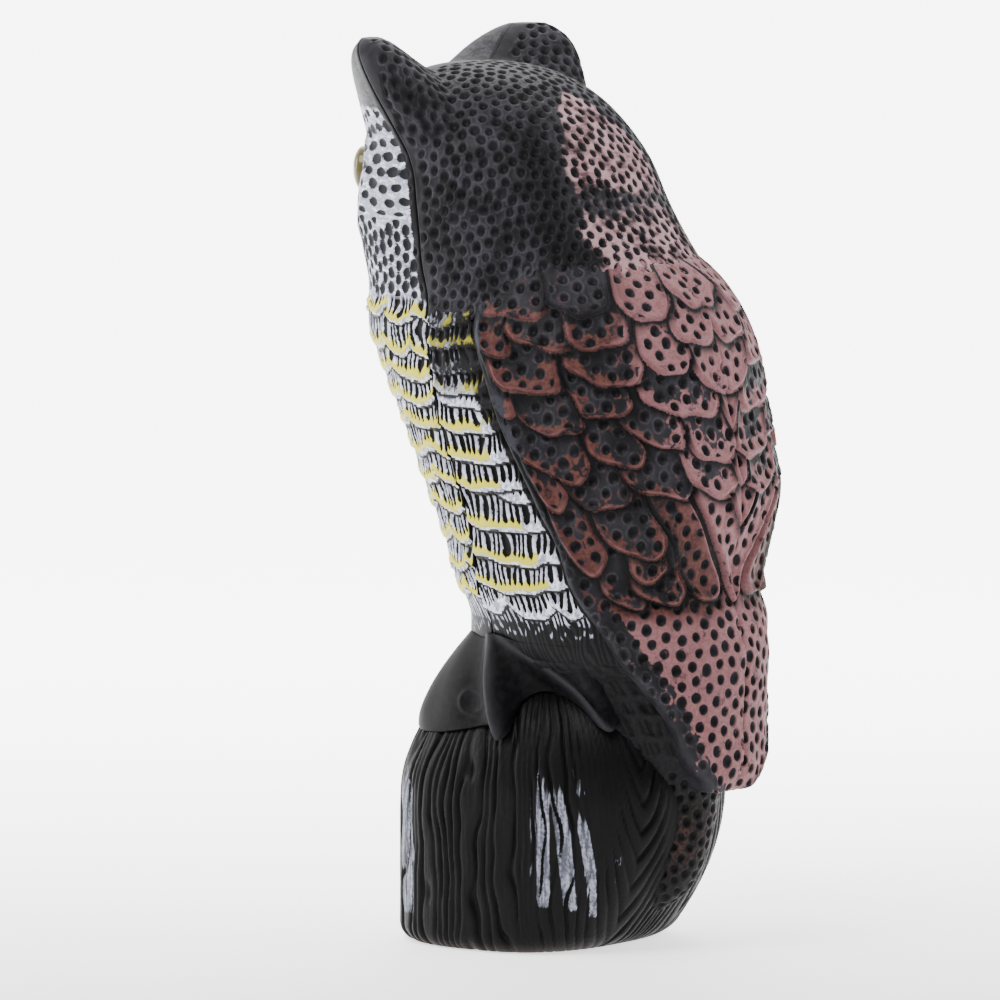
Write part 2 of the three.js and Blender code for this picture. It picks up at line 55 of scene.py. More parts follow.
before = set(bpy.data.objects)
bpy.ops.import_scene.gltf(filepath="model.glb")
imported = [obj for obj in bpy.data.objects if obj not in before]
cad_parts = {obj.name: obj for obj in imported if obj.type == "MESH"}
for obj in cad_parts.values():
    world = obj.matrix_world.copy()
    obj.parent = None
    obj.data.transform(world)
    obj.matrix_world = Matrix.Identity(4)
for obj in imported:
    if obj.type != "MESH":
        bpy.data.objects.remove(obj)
CAD_LOW, CAD_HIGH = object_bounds()
BODY_NODE = "owl_body"
ROOT = "root"
MM = 0.001

# The stump
STUMP_HEIGHT = 120 * MM
STUMP_WIDTH = 120 * MM
STUMP_FRONT = 61 * MM
STUMP_BACK = 83 * MM
STUMP_HEEL = 37 * MM
STUMP_HEEL_RISE = 72 * MM
STUMP_SHOULDER_IN = 38 * MM
STUMP_SHOULDER_DOWN = 52 * MM
STUMP_FOOT_ROUND = 8 * MM
STUMP_POWER = 2.5
CHEVRON_AXIS = math.radians(157)

# The owl's free form: place, half width, half depth, middle, all in shares of its height
OWL_HEIGHT = 284 * MM
BODY_STATIONS = [
    [-0.36, 0.035, 0.055, 0.19],
    [-0.3, 0.05, 0.073, 0.212],
    [-0.24, 0.058, 0.08, 0.226],
    [-0.18, 0.068, 0.086, 0.23],
    [-0.12, 0.1, 0.108, 0.222],
    [-0.06, 0.122, 0.148, 0.2],
    [0, 0.142, 0.196, 0.158],
    [0.042, 0.178, 0.231, 0.134],
    [0.104, 0.2, 0.228, 0.129],
    [0.167, 0.22, 0.233, 0.113],
    [0.229, 0.237, 0.246, 0.11],
    [0.295, 0.255, 0.26, 0.1],
    [0.358, 0.265, 0.266, 0.083],
    [0.42, 0.27, 0.273, 0.062],
    [0.483, 0.267, 0.284, 0.041],
    [0.547, 0.257, 0.291, 0.016],
    [0.61, 0.24, 0.275, -0.005],
    [0.674, 0.232, 0.253, -0.0375],
    [0.736, 0.232, 0.231, -0.0625],
    [0.799, 0.232, 0.217, -0.076],
    [0.861, 0.232, 0.215, -0.1],
    [0.951, 0.232, 0.215, -0.128],
]
WING_STATIONS = [
    [-0.21, 0.12, 0.15, 0.218],
    [-0.12, 0.158, 0.178, 0.2],
    [-0.055, 0.172, 0.184, 0.194],
    [0.042, 0.194, 0.243, 0.139],
    [0.104, 0.215, 0.236, 0.134],
    [0.167, 0.236, 0.239, 0.116],
    [0.229, 0.253, 0.25, 0.115],
    [0.295, 0.271, 0.267, 0.108],
    [0.358, 0.281, 0.274, 0.09],
    [0.42, 0.285, 0.281, 0.069],
    [0.483, 0.281, 0.292, 0.049],
    [0.547, 0.271, 0.299, 0.023],
    [0.61, 0.252, 0.283, 0.002],
    [0.66, 0.24, 0.262, -0.025],
]
# The wing's leading edge and the mould's parting line: place, degrees round from the breast
WING_EDGE = [
    [-0.2, 174],
    [-0.18, 165],
    [-0.12, 146],
    [-0.055, 136],
    [0.042, 125],
    [0.125, 112.5],
    [0.215, 107],
    [0.295, 101],
    [0.5, 95],
    [0.66, 97],
]
PARTING_LINE = [
    [-0.05, 54],
    [0.07, 57],
    [0.14, 60],
    [0.176, 64],
    [0.28, 70],
    [0.387, 72],
    [0.56, 76.3],
    [0.634, 77.5],
    [0.67, 80],
    [0.704, 83],
    [0.74, 85.2],
    [0.79, 85.2],
    [0.835, 82],
    [0.87, 77],
    [0.905, 70],
    [0.951, 64],
]
WING_STEP = 4.5 * MM
WING_DEPTH = 17 * MM
WING_LAP = 1.2 * MM
WING_EDGE_ROUND = 5 * MM
WING_BACK_ROUND = 4 * MM
WING_TOP_ROUND = 12 * MM
WING_TIP_ROUND = 14 * MM
WING_TUCK = 1.5 * MM
WING_TOP = 0.645
WING_TIP = -0.165
DOME_START = 0.715
CROWN = 0.951
TAIL_END = (15 * MM - STUMP_HEIGHT) / OWL_HEIGHT
TAIL_ROUND = 0.05
BODY_POWER = 2.2
HEAD_POWER = 2.4
DOME_POWER = 2.5
WIDEST = 0.27
FLAT = 0.24 * OWL_HEIGHT  # one radian round the body, laid out flat

# The face and the ears, in shares of the owl's height
EYE_ANGLE = math.radians(34)
EYE_PLACE = 0.785
EYE_TURN = math.radians(24)
EYE_RADIUS = 10 * MM
EYE_DOME = 4.5 * MM
EYE_SEAT = 6 * MM
EYE_SINK = 0.4 * MM
DISC_REACH, DISC_DIP, DISC_FLAT, DISC_SLOPE = 0.092, 0.004, 0.03, 0.075
DISC_RIM, DISC_RIM_WIDTH = 0.004, 0.014
BROW_FOOT, BROW_RISE, BROW_HEIGHT, BROW_WIDTH, BROW_REACH = 0.835, 0.075, 0.006, 0.02, 1.6
EAR_ROOT = (0.185, -0.139, 0.893)
EAR_PULL = (0.071, -0.021, 0.094)
EAR_LONG, EAR_THICK, EAR_TALL = 0.195 * OWL_HEIGHT, 0.075 * OWL_HEIGHT, 0.07 * OWL_HEIGHT
EAR_TURN = math.radians(50)
EAR_POWER = 3
BEAK_LEVEL = 0.74

# Feathers of a wing, in mm: left and right end and lowest point measured back from the leading edge, height
# of the lowest point above the ground, how much higher its sides are, and how far up it is brushed terracotta
WING_FEATHERS = [
    [2, 40, 22, 283.5, 6, 3.5],
    [38, 68, 54, 286, 6, 0],
    [70, 99, 91, 281, 15, 40],
    [97, 128, 113, 271, 14, 40],
    [99, 136, 120, 286, 12, 40],
    [3, 21, 11, 267, 9, 8],
    [19, 52, 46, 270, 9, 4],
    [45, 76, 60, 270, 7, 6],
    [42, 80, 64, 255.5, 11, 5.5],
    [5, 39, 25, 251, 9, 7],
    [79, 105, 94, 259, 12, 11],
    [103, 132, 117, 249, 16, 14],
    [3, 14, 9, 240, 9, 4],
    [12, 42, 31, 233.5, 8, 4],
    [40, 66, 50, 241, 5, 3.5],
    [58, 86, 79, 227.5, 15, 4],
    [70, 113, 104, 240.5, 10, 6.5],
    [84, 114, 98, 219.5, 12, 8],
    [111, 136, 122, 228, 12, 10],
    [3, 38, 28, 214.5, 16, 4.5],
    [39, 63, 52, 220.5, 9, 4],
    [46, 86, 62, 205.5, 12, 4],
    [77, 105, 90, 205.5, 7, 7],
    [103, 128, 113, 206, 9, 9],
    [4, 20, 12, 201, 9, 7],
    [19, 48, 28, 200.5, 9, 3],
    [5, 24, 15, 172, 16, 9],
    [26, 53, 40, 178, 14, 5],
    [53, 73, 65, 158, 14, 16],
    [76, 96, 84, 155, 14, 30],
    [95, 114, 103, 162, 14, 30],
    [30, 50, 38, 168, 6, 4],
    [29, 55, 45, 159, 8, 4],
    [16, 34, 26, 157, 7, 4],
]
# Rows of the breast before the parting line: heights of their lowest points in mm
FRONT_ROWS = [279, 265.5, 254.5, 243, 232, 220, 208, 195, 182, 169, 157]
# Feathers behind it, in mm: ends and lowest point round from the front, height of the lowest point, how much
# higher the sides are, and how yellow the edge is
FLANK_FEATHERS = [
    [80, 114, 98, 279, 3, 0.5],
    [78, 114, 96, 268.5, 3.5, 0.6],
    [78, 116, 99, 259, 3, 0.4],
    [78, 116, 96, 249.5, 3.5, 0.5],
    [90, 120, 106, 244, 2, 0],
    [76, 120, 100, 233, 4, 0.9],
    [76, 124, 99, 220, 4, 0.9],
    [74, 126, 98, 207, 5, 0.9],
    [104, 132, 116, 203, 3, 0],
    [72, 134, 102, 189.5, 5, 1],
    [70, 138, 104, 174.5, 5, 1],
    [66, 138, 98, 161.5, 6, 1],
    [60, 92, 76, 152, 5, 0],
    [88, 126, 102, 149.5, 9, 0],
    [118, 142, 127, 152, 6, 0],
]

# A foot is draped from the breast's lower edge over the stump's shoulder: degrees round the stump, how far
# the hem hangs below the stump's top, and degrees round the breast at the top
FOOT_STATIONS = [
    [12, 0.067, 6],
    [30, 0.08, 16],
    [48, 0.088, 26],
    [66, 0.086, 36],
    [82, 0.077, 44],
    [94, 0.069, 51],
    [99, 0.069, 53],
    [102, 0.083, 55],
    [104, 0.088, 56],
    [106.5, 0.077, 58],
    [110, 0.043, 61],
    [117, 0.022, 67],
    [127, 0.015, 77],
    [135, 0.022, 87],
    [140, 0.036, 93],
    [145, 0.064, 98],
    [148.5, 0.068, 101],
    [154, 0.044, 107],
    [166, 0.03, 115],
]
FOOT_STEP = 1.5 * MM
FOOT_TOP = 0.07
FOOT_TILT = 0.9
# Toes: degrees round the stump at the hem and at the top, half width in degrees, and rise
TOES = [
    [42, 52, 13, 0.004],
    [80, 68, 14, 0.01],
    [104, 102, 7, 0.024],
    [146.5, 112, 9, 0.024],
]

# Dry-brushed streaks on the stump: angle at the top and at the bottom, half width in degrees, top and
# bottom height in mm, and strength
STREAKS = [
    [123.4, 124.2, 2.7, 95, 18, 1],
    [127.5, 135, 2.8, 88, 17, 1],
    [135.5, 144.5, 2, 74, 14, 1],
    [119.3, 119.6, 0.9, 97, 32, 0.6],
    [132, 138, 2.4, 92, 68, 0.5],
    [150.5, 149.5, 1.3, 60, 24, 0.4],
    [50, 53, 6.5, 94, 10, 0.78],
    [8, 12, 5, 80, 16, 0.6],
    [-34, -38, 4, 84, 14, 0.8],
    [-88, -84, 3, 78, 22, 0.6],
    [-128, -132, 2.6, 88, 18, 0.9],
    [-146, -141, 2, 62, 20, 0.7],
]


# Plain sums on arrays


def smoothstep(value, low, high):
    share = np.clip((value - low) / (high - low), 0, 1)
    return share * share * (3 - 2 * share)


def ridge(distance, width):
    return np.exp(-((distance / width) ** 2))


def grows(distance, low, high):
    """0 below one length and 1 above another, both in mm."""
    return smoothstep(distance, low * MM, high * MM)


def hump(distance, middle, width):
    """1 at a length and falling to 0 on both sides of it, both numbers in mm."""
    return ridge(distance - middle * MM, width * MM)


def curve_through(stations):
    """A smooth curve through stations of [place, value, ...], read at an array of places."""
    table = np.array(stations, float)
    places, values = table[:, 0], table[:, 1:]
    last = len(places) - 1
    before = np.maximum(np.arange(last + 1) - 1, 0)
    after = np.minimum(np.arange(last + 1) + 1, last)
    slopes = (values[after] - values[before]) / (places[after] - places[before])[:, None]

    def read(place):
        at = np.clip(np.asarray(place, float).ravel(), places[0], places[last])
        i = np.clip(np.searchsorted(places, at, side="right") - 1, 0, last - 1)
        gap = (places[i + 1] - places[i])[:, None]
        t = (at[:, None] - places[i][:, None]) / gap
        bend = (2 * t - 3) * t * t
        rise = gap * slopes[i] * t * (1 - t) ** 2
        fall = gap * slopes[i + 1] * t * t * (1 - t)
        mixed = values[i] * (1 + bend) - values[i + 1] * bend + rise - fall
        return [mixed[:, k].reshape(np.shape(place)) for k in range(values.shape[1])]

    return read


body_curve = curve_through(BODY_STATIONS)
wing_curve = curve_through(WING_STATIONS)
edge_curve = curve_through(WING_EDGE)
parting_curve = curve_through(PARTING_LINE)


def wing_edge(place):
    return np.radians(edge_curve(place)[0])


def parting(place):
    return np.radians(parting_curve(place)[0])


def wobble(x, y, seed):
    """A smooth irregular wave over a plane, from about -1 to 1, with a wavelength of about one."""
    chance = np.random.default_rng(seed)
    total = 0
    for _ in range(6):
        turn, phase = chance.uniform(0, 2 * math.pi, 2)
        reach = chance.uniform(4, 9)
        total = total + np.sin((x * math.cos(turn) + y * math.sin(turn)) * reach + phase)
    return total / 3


def up(place):
    return STUMP_HEIGHT + place * OWL_HEIGHT


def section_radius(angle, width, front, back, power):
    depth = np.where(np.cos(angle) > 0, front, back)
    across = (np.abs(np.sin(angle)) / width) ** power
    along = (np.abs(np.cos(angle)) / depth) ** power
    return (across + along) ** (-1 / power)


def polar_points(angle, radius, middle, height):
    x = radius * np.sin(angle)
    y = middle - radius * np.cos(angle)
    return np.stack(np.broadcast_arrays(x, y, height), axis=-1)


def cap_factor(share, power):
    """Rounds a form off to nothing over the last stretch of its length."""
    return (1 - np.clip(share, 0, 0.99999) ** power) ** (1 / power)


def round_off(distance, reach, drop):
    """How far a rounded edge has dropped, at a distance from the rim."""
    share = np.clip(1 - distance / reach, 0, 1)
    return drop * (1 - np.sqrt(1 - share * share))


def ear_pull(points):
    """Draws the two ear tufts out of the crown."""
    side = np.where(points[..., 0] < 0, -1.0, 1.0)
    offset_x = side * points[..., 0] - EAR_ROOT[0] * OWL_HEIGHT
    offset_y = points[..., 1] - EAR_ROOT[1] * OWL_HEIGHT
    offset_z = points[..., 2] - up(EAR_ROOT[2])
    along = offset_x * math.sin(EAR_TURN) + offset_y * math.cos(EAR_TURN)
    aside = offset_x * math.cos(EAR_TURN) - offset_y * math.sin(EAR_TURN)
    far = (along / EAR_LONG) ** 2
    across = (aside / EAR_THICK) ** 2 + (offset_z / EAR_TALL) ** 2
    weight = (1 - np.clip(np.hypot(far, across) ** 0.5, 0, 1) ** EAR_POWER) ** 2
    pull = np.array(EAR_PULL) * OWL_HEIGHT
    move = np.stack([side * pull[0], np.full_like(side, pull[1]), np.full_like(side, pull[2])], axis=-1)
    return move * weight[..., None], weight


def eye_reach(angle, place):
    """Distance over the face from the nearer eye's middle, as a share of the height."""
    across = (np.abs(angle) - EYE_ANGLE) * WIDEST
    return np.hypot(across, place - EYE_PLACE)


def face_relief(angle, place):
    """The dished disc round each eye inside its rim, the slanting brow and the eye's lid."""
    turn = np.abs(angle) / EYE_ANGLE
    reach = eye_reach(angle, place)
    dish = -DISC_DIP * (1 - smoothstep(reach, DISC_FLAT, DISC_SLOPE))
    rim = DISC_RIM * ridge(reach - DISC_REACH, DISC_RIM_WIDTH)
    line = place - BROW_FOOT - BROW_RISE * np.clip(turn, 0, BROW_REACH)
    end = 1 - smoothstep(turn, BROW_REACH, BROW_REACH + 0.5)
    lid = 0.002 * ridge(reach - (EYE_RADIUS + 1.3 * MM) / OWL_HEIGHT, 0.005)
    brow = BROW_HEIGHT * ridge(line, BROW_WIDTH) * end
    return (dish + rim + brow + lid) * OWL_HEIGHT


def dome_factor(place):
    return cap_factor((place - DOME_START) / (CROWN - DOME_START), DOME_POWER)


def tail_factor(place):
    return cap_factor(1 - (place - TAIL_END) / TAIL_ROUND, 2)


def body_points(angle, place, relief=0.0):
    """The owl's skin without its wings, and how far each point is drawn into an ear."""
    half_width, half_depth, middle = body_curve(place)
    dome = dome_factor(place)
    size = OWL_HEIGHT * dome * tail_factor(place)
    power = BODY_POWER + (HEAD_POWER - BODY_POWER) * smoothstep(place, 0.6, 0.75)
    radius = section_radius(angle, half_width * size, half_depth * size, half_depth * size, power)
    radius = radius + face_relief(angle, place) * smoothstep(place, 0.66, 0.72) * dome + relief
    points = polar_points(angle, radius, middle * OWL_HEIGHT, up(place))
    move, weight = ear_pull(points)
    return points + move, weight


def body_heart(place):
    """A point on the body's axis."""
    middle = body_curve(np.array([place]))[2]
    return np.array([0.0, middle[0] * OWL_HEIGHT, up(place)])


def even_places(low, high, step):
    """Places up the body whose rings lie about one step apart over the surface at its side."""
    places = np.linspace(low, min(high, DOME_START), 2000)
    if high > DOME_START:
        rise = np.sin(np.linspace(0, math.pi / 2, 4000)[1:]) ** (2 / DOME_POWER)
        places = np.append(places, DOME_START + (CROWN - DOME_START) * rise)
    across = body_curve(places)[0] * dome_factor(places) * tail_factor(places)
    length = np.concatenate([[0], np.cumsum(np.hypot(np.diff(across), np.diff(places)))]) * OWL_HEIGHT
    return np.interp(np.linspace(0, length[-1], int(length[-1] / step) + 1), length, places)


# Feathers that lap over each other

FAR = 60 * MM


def feather_distance(across, height, left, right, lowest, bottom, drop):
    """How far in from a feather's rounded outline a point lies, and less than nothing outside it."""
    wide = np.where(across < lowest, lowest - left, right - lowest)
    aside = np.abs(across - lowest) / wide
    under = np.clip((bottom + drop - height) / drop, 0, None)
    reach = np.maximum(np.hypot(aside, under), 1e-6)
    beyond = (1 - reach) * reach / np.maximum(np.hypot(aside / wide, under / drop), 1e-6)
    rise = height - bottom - drop * (1 - np.sqrt(np.clip(1 - aside**2, 0, 1)))
    gap = (np.sqrt(np.clip(1 - under**2, 0, 1)) - aside) * wide
    within = rise * gap / np.maximum(np.hypot(rise, gap), 1e-9)
    return np.where(reach < 1, within, beyond)


def row_distance(across, height, left, right, lowest, bottom, drop):
    """How far a point lies above the lower edge of a feather that has no sides of its own."""
    wide = np.where(across < lowest, lowest - left, right - lowest)
    aside = np.abs(across - lowest) / wide
    rise = height - bottom - drop * np.minimum(aside, 1) ** 1.8
    return np.where(aside < 1, rise, -FAR)


def lay_feathers(feathers, across, height, lift, pitch, edge, distance=feather_distance):
    """Lays feathers over each other from the lowest up, thick at their rims and thin where they come out.

    Gives the relief, the distance in from the own outline, out to the outline that laps over, the last
    value of the own feather and the height above its lowest point. A feather's own values reach a little
    past its outline, so that the outline is sharp between the points of a mesh.
    """
    relief = np.zeros_like(across)
    above = np.full_like(across, FAR)
    below = np.full_like(across, FAR)
    value = np.zeros_like(across)
    rise = np.zeros_like(across)
    for *outline, own_value in sorted(feathers, key=lambda feather: feather[3]):
        inside = distance(across, height, *(size * MM for size in outline))
        fall = 1 - 0.8 * np.clip(inside / pitch, 0, 1)
        rim = 0.3 * ridge(inside - 1.6 * edge, edge)
        swell = lift * smoothstep(inside, -0.3 * edge, 1.3 * edge) * (0.85 * fall + rim)
        relief = relief + (swell - relief) * smoothstep(inside, -0.2 * edge, 0.9 * edge)
        below = np.where(inside > 0, FAR, np.minimum(below, -inside))
        own = inside > -1 * MM
        above = np.where(own, inside, above)
        value = np.where(own, own_value, value)
        rise = np.where(own, height - outline[3] * MM, rise)
    return relief, above, below, value, rise


def feather_row(bottom, width, drop, low, high, chance):
    """Uneven feathers side by side along one row, all in mm."""
    feathers = []
    left = low - width * chance.uniform(0.1, 0.9)
    while left < high:
        right = left + width * chance.uniform(0.78, 1.25)
        lowest = left + (right - left) * chance.uniform(0.4, 0.64)
        deep = drop * chance.uniform(0.8, 1.25)
        feathers.append([left - 1.5, right + 1.5, lowest, bottom + chance.uniform(-1.2, 1.2), deep, 1])
        left = right
    return feathers


def slit_turn(across, height, pitch, seed):
    """Counts the breast's upright slits along a row: whole at a slit's middle, shifted from row to row."""
    return across / pitch + 0.4 * wobble(across / (4 * pitch), height / (7 * pitch), seed)


def slit_share(above, low, high):
    """Half width of a slit as a share of the pitch: nothing at its rounded lower end, wide further up."""
    return 0.29 * np.sqrt(smoothstep(above, low, high))


# Mesh building


def quad_faces(rows, columns, wrap, flip):
    """The four-sided faces of a grid, which are joined at its sides if it wraps round."""
    steps = np.arange(columns if wrap else columns - 1)
    row, column = np.meshgrid(np.arange(rows - 1), steps, indexing="ij")
    low, high = row * columns, (row + 1) * columns
    after = (column + 1) % columns
    faces = np.stack([low + column, low + after, high + after, high + column], axis=-1).reshape(-1, 4)
    return (faces[:, ::-1] if flip else faces).tolist()


def rim_of(rows, columns):
    """The border of an open grid, in the order that its faces turn."""
    grid = np.arange(rows * columns).reshape(rows, columns)
    return np.concatenate([grid[0, :-1], grid[:-1, -1], grid[-1, :0:-1], grid[:0:-1, 0]])


def write_values(mesh, label, values, rest=0.0):
    """Stores a number for each point of a mesh; points past the given ones get the rest."""
    layer = mesh.attributes.get(label) or mesh.attributes.new(label, "FLOAT", "POINT")
    full = np.full(len(mesh.vertices), rest, np.float32)
    flat = np.asarray(values, np.float32).ravel()
    full[: len(flat)] = flat
    layer.data.foreach_set("value", full)


def added(name, data):
    """A new object of the scene, at the origin."""
    made = bpy.data.objects.new(name, data)
    bpy.context.scene.collection.objects.link(made)
    return made


def new_piece(name, points, faces, attributes):
    mesh = bpy.data.meshes.new(name)
    mesh.from_pydata(points.tolist(), [], faces)
    mesh.polygons.foreach_set("use_smooth", np.ones(len(mesh.polygons), bool))
    for label, values in attributes.items():
        write_values(mesh, label, values)
    mesh.validate()
    mesh.update()
    return added(name, mesh)


def sheet_piece(name, points, attributes, heart, flip=False):
    """A grid that is open on all sides, closed by a fan to a point inside the body."""
    rows, columns = points.shape[:2]
    faces = quad_faces(rows, columns, False, flip)
    rim = rim_of(rows, columns)
    heart_index = rows * columns
    for a, b in zip(rim, np.roll(rim, -1)):
        faces.append([b, a, heart_index] if not flip else [a, b, heart_index])
    return new_piece(name, np.vstack([points.reshape(-1, 3), heart]), faces, attributes)


def ring_piece(name, points, attributes, bottom, top):
    """A grid that runs all the way round, closed by a point at each end."""
    rows, columns = points.shape[:2]
    faces = quad_faces(rows, columns, True, False)
    low, high = rows * columns, rows * columns + 1
    last = (rows - 1) * columns
    for column in range(columns):
        after = (column + 1) % columns
        faces.append([after, column, low])
        faces.append([last + column, last + after, high])
    return new_piece(name, np.vstack([points.reshape(-1, 3), bottom, top]), faces, attributes)


def turn_outwards(piece):
    """Turns all faces of a closed piece outwards."""
    shape = bmesh.new()
    shape.from_mesh(piece.data)
    bmesh.ops.recalc_face_normals(shape, faces=shape.faces)
    shape.to_mesh(piece.data)
    shape.free()


def settle(piece, material=None, node=BODY_NODE):
    """The finished piece keeps within the solid's box, rides on the body and stands for its solid."""
    if material:
        piece.data.materials.append(material)
    points = np.empty(len(piece.data.vertices) * 3, np.float32)
    piece.data.vertices.foreach_get("co", points)
    within = np.clip(points.reshape(-1, 3), CAD_LOW, CAD_HIGH)
    piece.data.vertices.foreach_set("co", within.ravel())
    piece.data.update()
    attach(piece, ROOT)
    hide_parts(node)
    return {"FINISHED"}


def applied(piece):
    """Turns a piece with live modifiers into a plain mesh of the same name."""
    graph = bpy.context.evaluated_depsgraph_get()
    mesh = bpy.data.meshes.new_from_object(piece.evaluated_get(graph))
    old = piece.data
    piece.modifiers.clear()
    piece.data = mesh
    bpy.data.meshes.remove(old)
    mesh.name = piece.name
    return piece


# Node trees written as sums


class Wire:
    """A socket's value, which can be added, multiplied and so on as a plain number is."""

    def __init__(self, sketch, socket):
        self.sketch = sketch
        self.socket = socket

    def __add__(self, other):
        return self.sketch.math("ADD", self, other)

    __radd__ = __add__

    def __sub__(self, other):
        return self.sketch.math("SUBTRACT", self, other)

    def __rsub__(self, other):
        return self.sketch.math("SUBTRACT", other, self)

    def __mul__(self, other):
        return self.sketch.math("MULTIPLY", self, other)

    __rmul__ = __mul__

    def __truediv__(self, other):
        return self.sketch.math("DIVIDE", self, other)

    def __rtruediv__(self, other):
        return self.sketch.math("DIVIDE", other, self)

    def swing(self, size):
        """Uneven values round a half, made uneven values round nothing."""
        return (self - 0.5) * size

    def ramp(self, low, high, at_low, at_high, kind="LINEAR"):
        """Runs from one number at low to another at high."""
        ends = {"From Min": low, "From Max": high, "To Min": at_low, "To Max": at_high}
        return self.sketch.node("ShaderNodeMapRange", {"interpolation_type": kind}, {"Value": self, **ends})

    def fade(self, low, high):
        """0 at low and 1 at high, with soft ends."""
        if low > high:
            return self.ramp(high, low, 1.0, 0.0, "SMOOTHSTEP")
        return self.ramp(low, high, 0.0, 1.0, "SMOOTHSTEP")

    def blend(self, first, second):
        """From one colour to another by this share. A colour is a name, four numbers or a node's value."""
        tones = [colour(tone) if isinstance(tone, str) else tone for tone in (first, second)]
        sockets = {0: self, 6: tones[0], 7: tones[1]}
        return self.sketch.node("ShaderNodeMix", {"data_type": "RGBA"}, sockets, 2)


class Sketch:
    """Adds nodes to a tree, each from its type, its settings and the values or links of its sockets."""

    def __init__(self, tree):
        self.tree = tree

    def node(self, kind, settings=None, inputs=None, output=0):
        made = self.tree.nodes.new(kind)
        for key, value in (settings or {}).items():
            setattr(made, key, value)
        for key, value in (inputs or {}).items():
            self.feed(made.inputs[key], value)
        return Wire(self, made.outputs[output])

    def feed(self, socket, value):
        if isinstance(value, Wire):
            self.tree.links.new(value.socket, socket)
        else:
            socket.default_value = value

    def math(self, operation, first, second=0.0):
        return self.node("ShaderNodeMath", {"operation": operation}, {0: first, 1: second})

    def vector(self, operation, *values, output="Vector", **named):
        """A sum on vectors."""
        sockets = {**dict(enumerate(values)), **named}
        return self.node("ShaderNodeVectorMath", {"operation": operation}, sockets, output)

    def attribute(self, name, output="Fac"):
        return self.node("ShaderNodeAttribute", {"attribute_name": name}, output=output)

    def place(self, stretch=(1.0, 1.0, 1.0)):
        """Object coordinates, stretched."""
        return self.vector("MULTIPLY", self.node("ShaderNodeTexCoord", output="Object"), stretch)

    def noise(self, size, detail=3.0, stretch=(1.0, 1.0, 1.0)):
        """Uneven values round a half, with lumps of about the given size in metres."""
        sockets = {"Vector": self.place(stretch), "Scale": 1 / size, "Detail": detail, "Roughness": 0.55}
        return self.node("ShaderNodeTexNoise", None, sockets, "Fac")

    def bump(self, height, distance, strength=1.0):
        sockets = {"Height": height, "Distance": distance, "Strength": strength}
        return self.node("ShaderNodeBump", None, sockets, "Normal")

    def stored(self, name, kind="FLOAT"):
        return self.node("GeometryNodeInputNamedAttribute", {"data_type": kind}, {"Name": name})

    def store(self, geometry, name, value, kind="FLOAT"):
        settings = {"data_type": kind, "domain": "POINT"}
        sockets = {"Geometry": geometry, "Name": name, "Value": value}
        return self.node("GeometryNodeStoreNamedAttribute", settings, sockets)

    def move(self, geometry, **where):
        return self.node("GeometryNodeSetPosition", None, {"Geometry": geometry, **where})


def colour(name):
    return tuple(getattr(bpy.context.scene.owl_paint, name))


def paint(name):
    """The material of a finish, made when it is first asked for."""
    if name in bpy.data.materials:
        return bpy.data.materials[name]
    recipe, gloss = FINISHES[name]
    material = bpy.data.materials.new(name)
    material.use_nodes = True
    sketch = Sketch(material.node_tree)
    shader = material.node_tree.nodes["Principled BSDF"]
    for socket, value in zip(("Base Color", "Roughness", "Normal"), recipe(sketch)):
        sketch.feed(shader.inputs[socket], value)
    shader.inputs["Specular IOR Level"].default_value = gloss
    return material


# Dimples

SPREAD_ROUNDS = 7
SPREAD_REACH = 1.2  # dimples closer than this share of their spacing push each other away
SPREAD_SHARE = 0.45  # how much of the lack each round makes up for
NO_PIT = 3.0  # stands for the reach from a dimple where there is none
MOST_DIMPLES = 500000.0  # to a square metre, far more than the spacing leaves room for
OUTLINE_DRIFT = 1.6 * MM  # how far a dimple's outline is pushed out of shape


def spread_out(sketch, points, skin, spacing):
    """Moves crowded points apart, and back onto the skin, until they lie more evenly."""
    first = sketch.tree.nodes.new("GeometryNodeRepeatInput")
    last = sketch.tree.nodes.new("GeometryNodeRepeatOutput")
    first.pair_with_output(last)
    sketch.feed(first.inputs["Iterations"], SPREAD_ROUNDS)
    sketch.feed(first.inputs["Geometry"], points)
    here = sketch.node("GeometryNodeInputPosition")
    at_nearest = {"Value": here, "Index": sketch.node("GeometryNodeIndexOfNearest")}
    settings = {"data_type": "FLOAT_VECTOR", "domain": "POINT"}
    there = sketch.node("GeometryNodeFieldAtIndex", settings, at_nearest)
    away = sketch.vector("SUBTRACT", here, there)
    gap = sketch.vector("LENGTH", away, output="Value")
    lack = sketch.math("MAXIMUM", spacing * SPREAD_REACH - gap, 0.0)
    push = lack * SPREAD_SHARE / sketch.math("MAXIMUM", gap, 0.0001)
    moving = Wire(sketch, first.outputs["Geometry"])
    moved = sketch.move(moving, Offset=sketch.vector("SCALE", away, Scale=push))
    faces = {"target_element": "FACES"}
    on_skin = sketch.node("GeometryNodeProximity", faces, {"Geometry": skin}, "Position")
    sketch.feed(last.inputs["Geometry"], sketch.move(moved, Position=on_skin))
    return Wire(sketch, last.outputs["Geometry"])


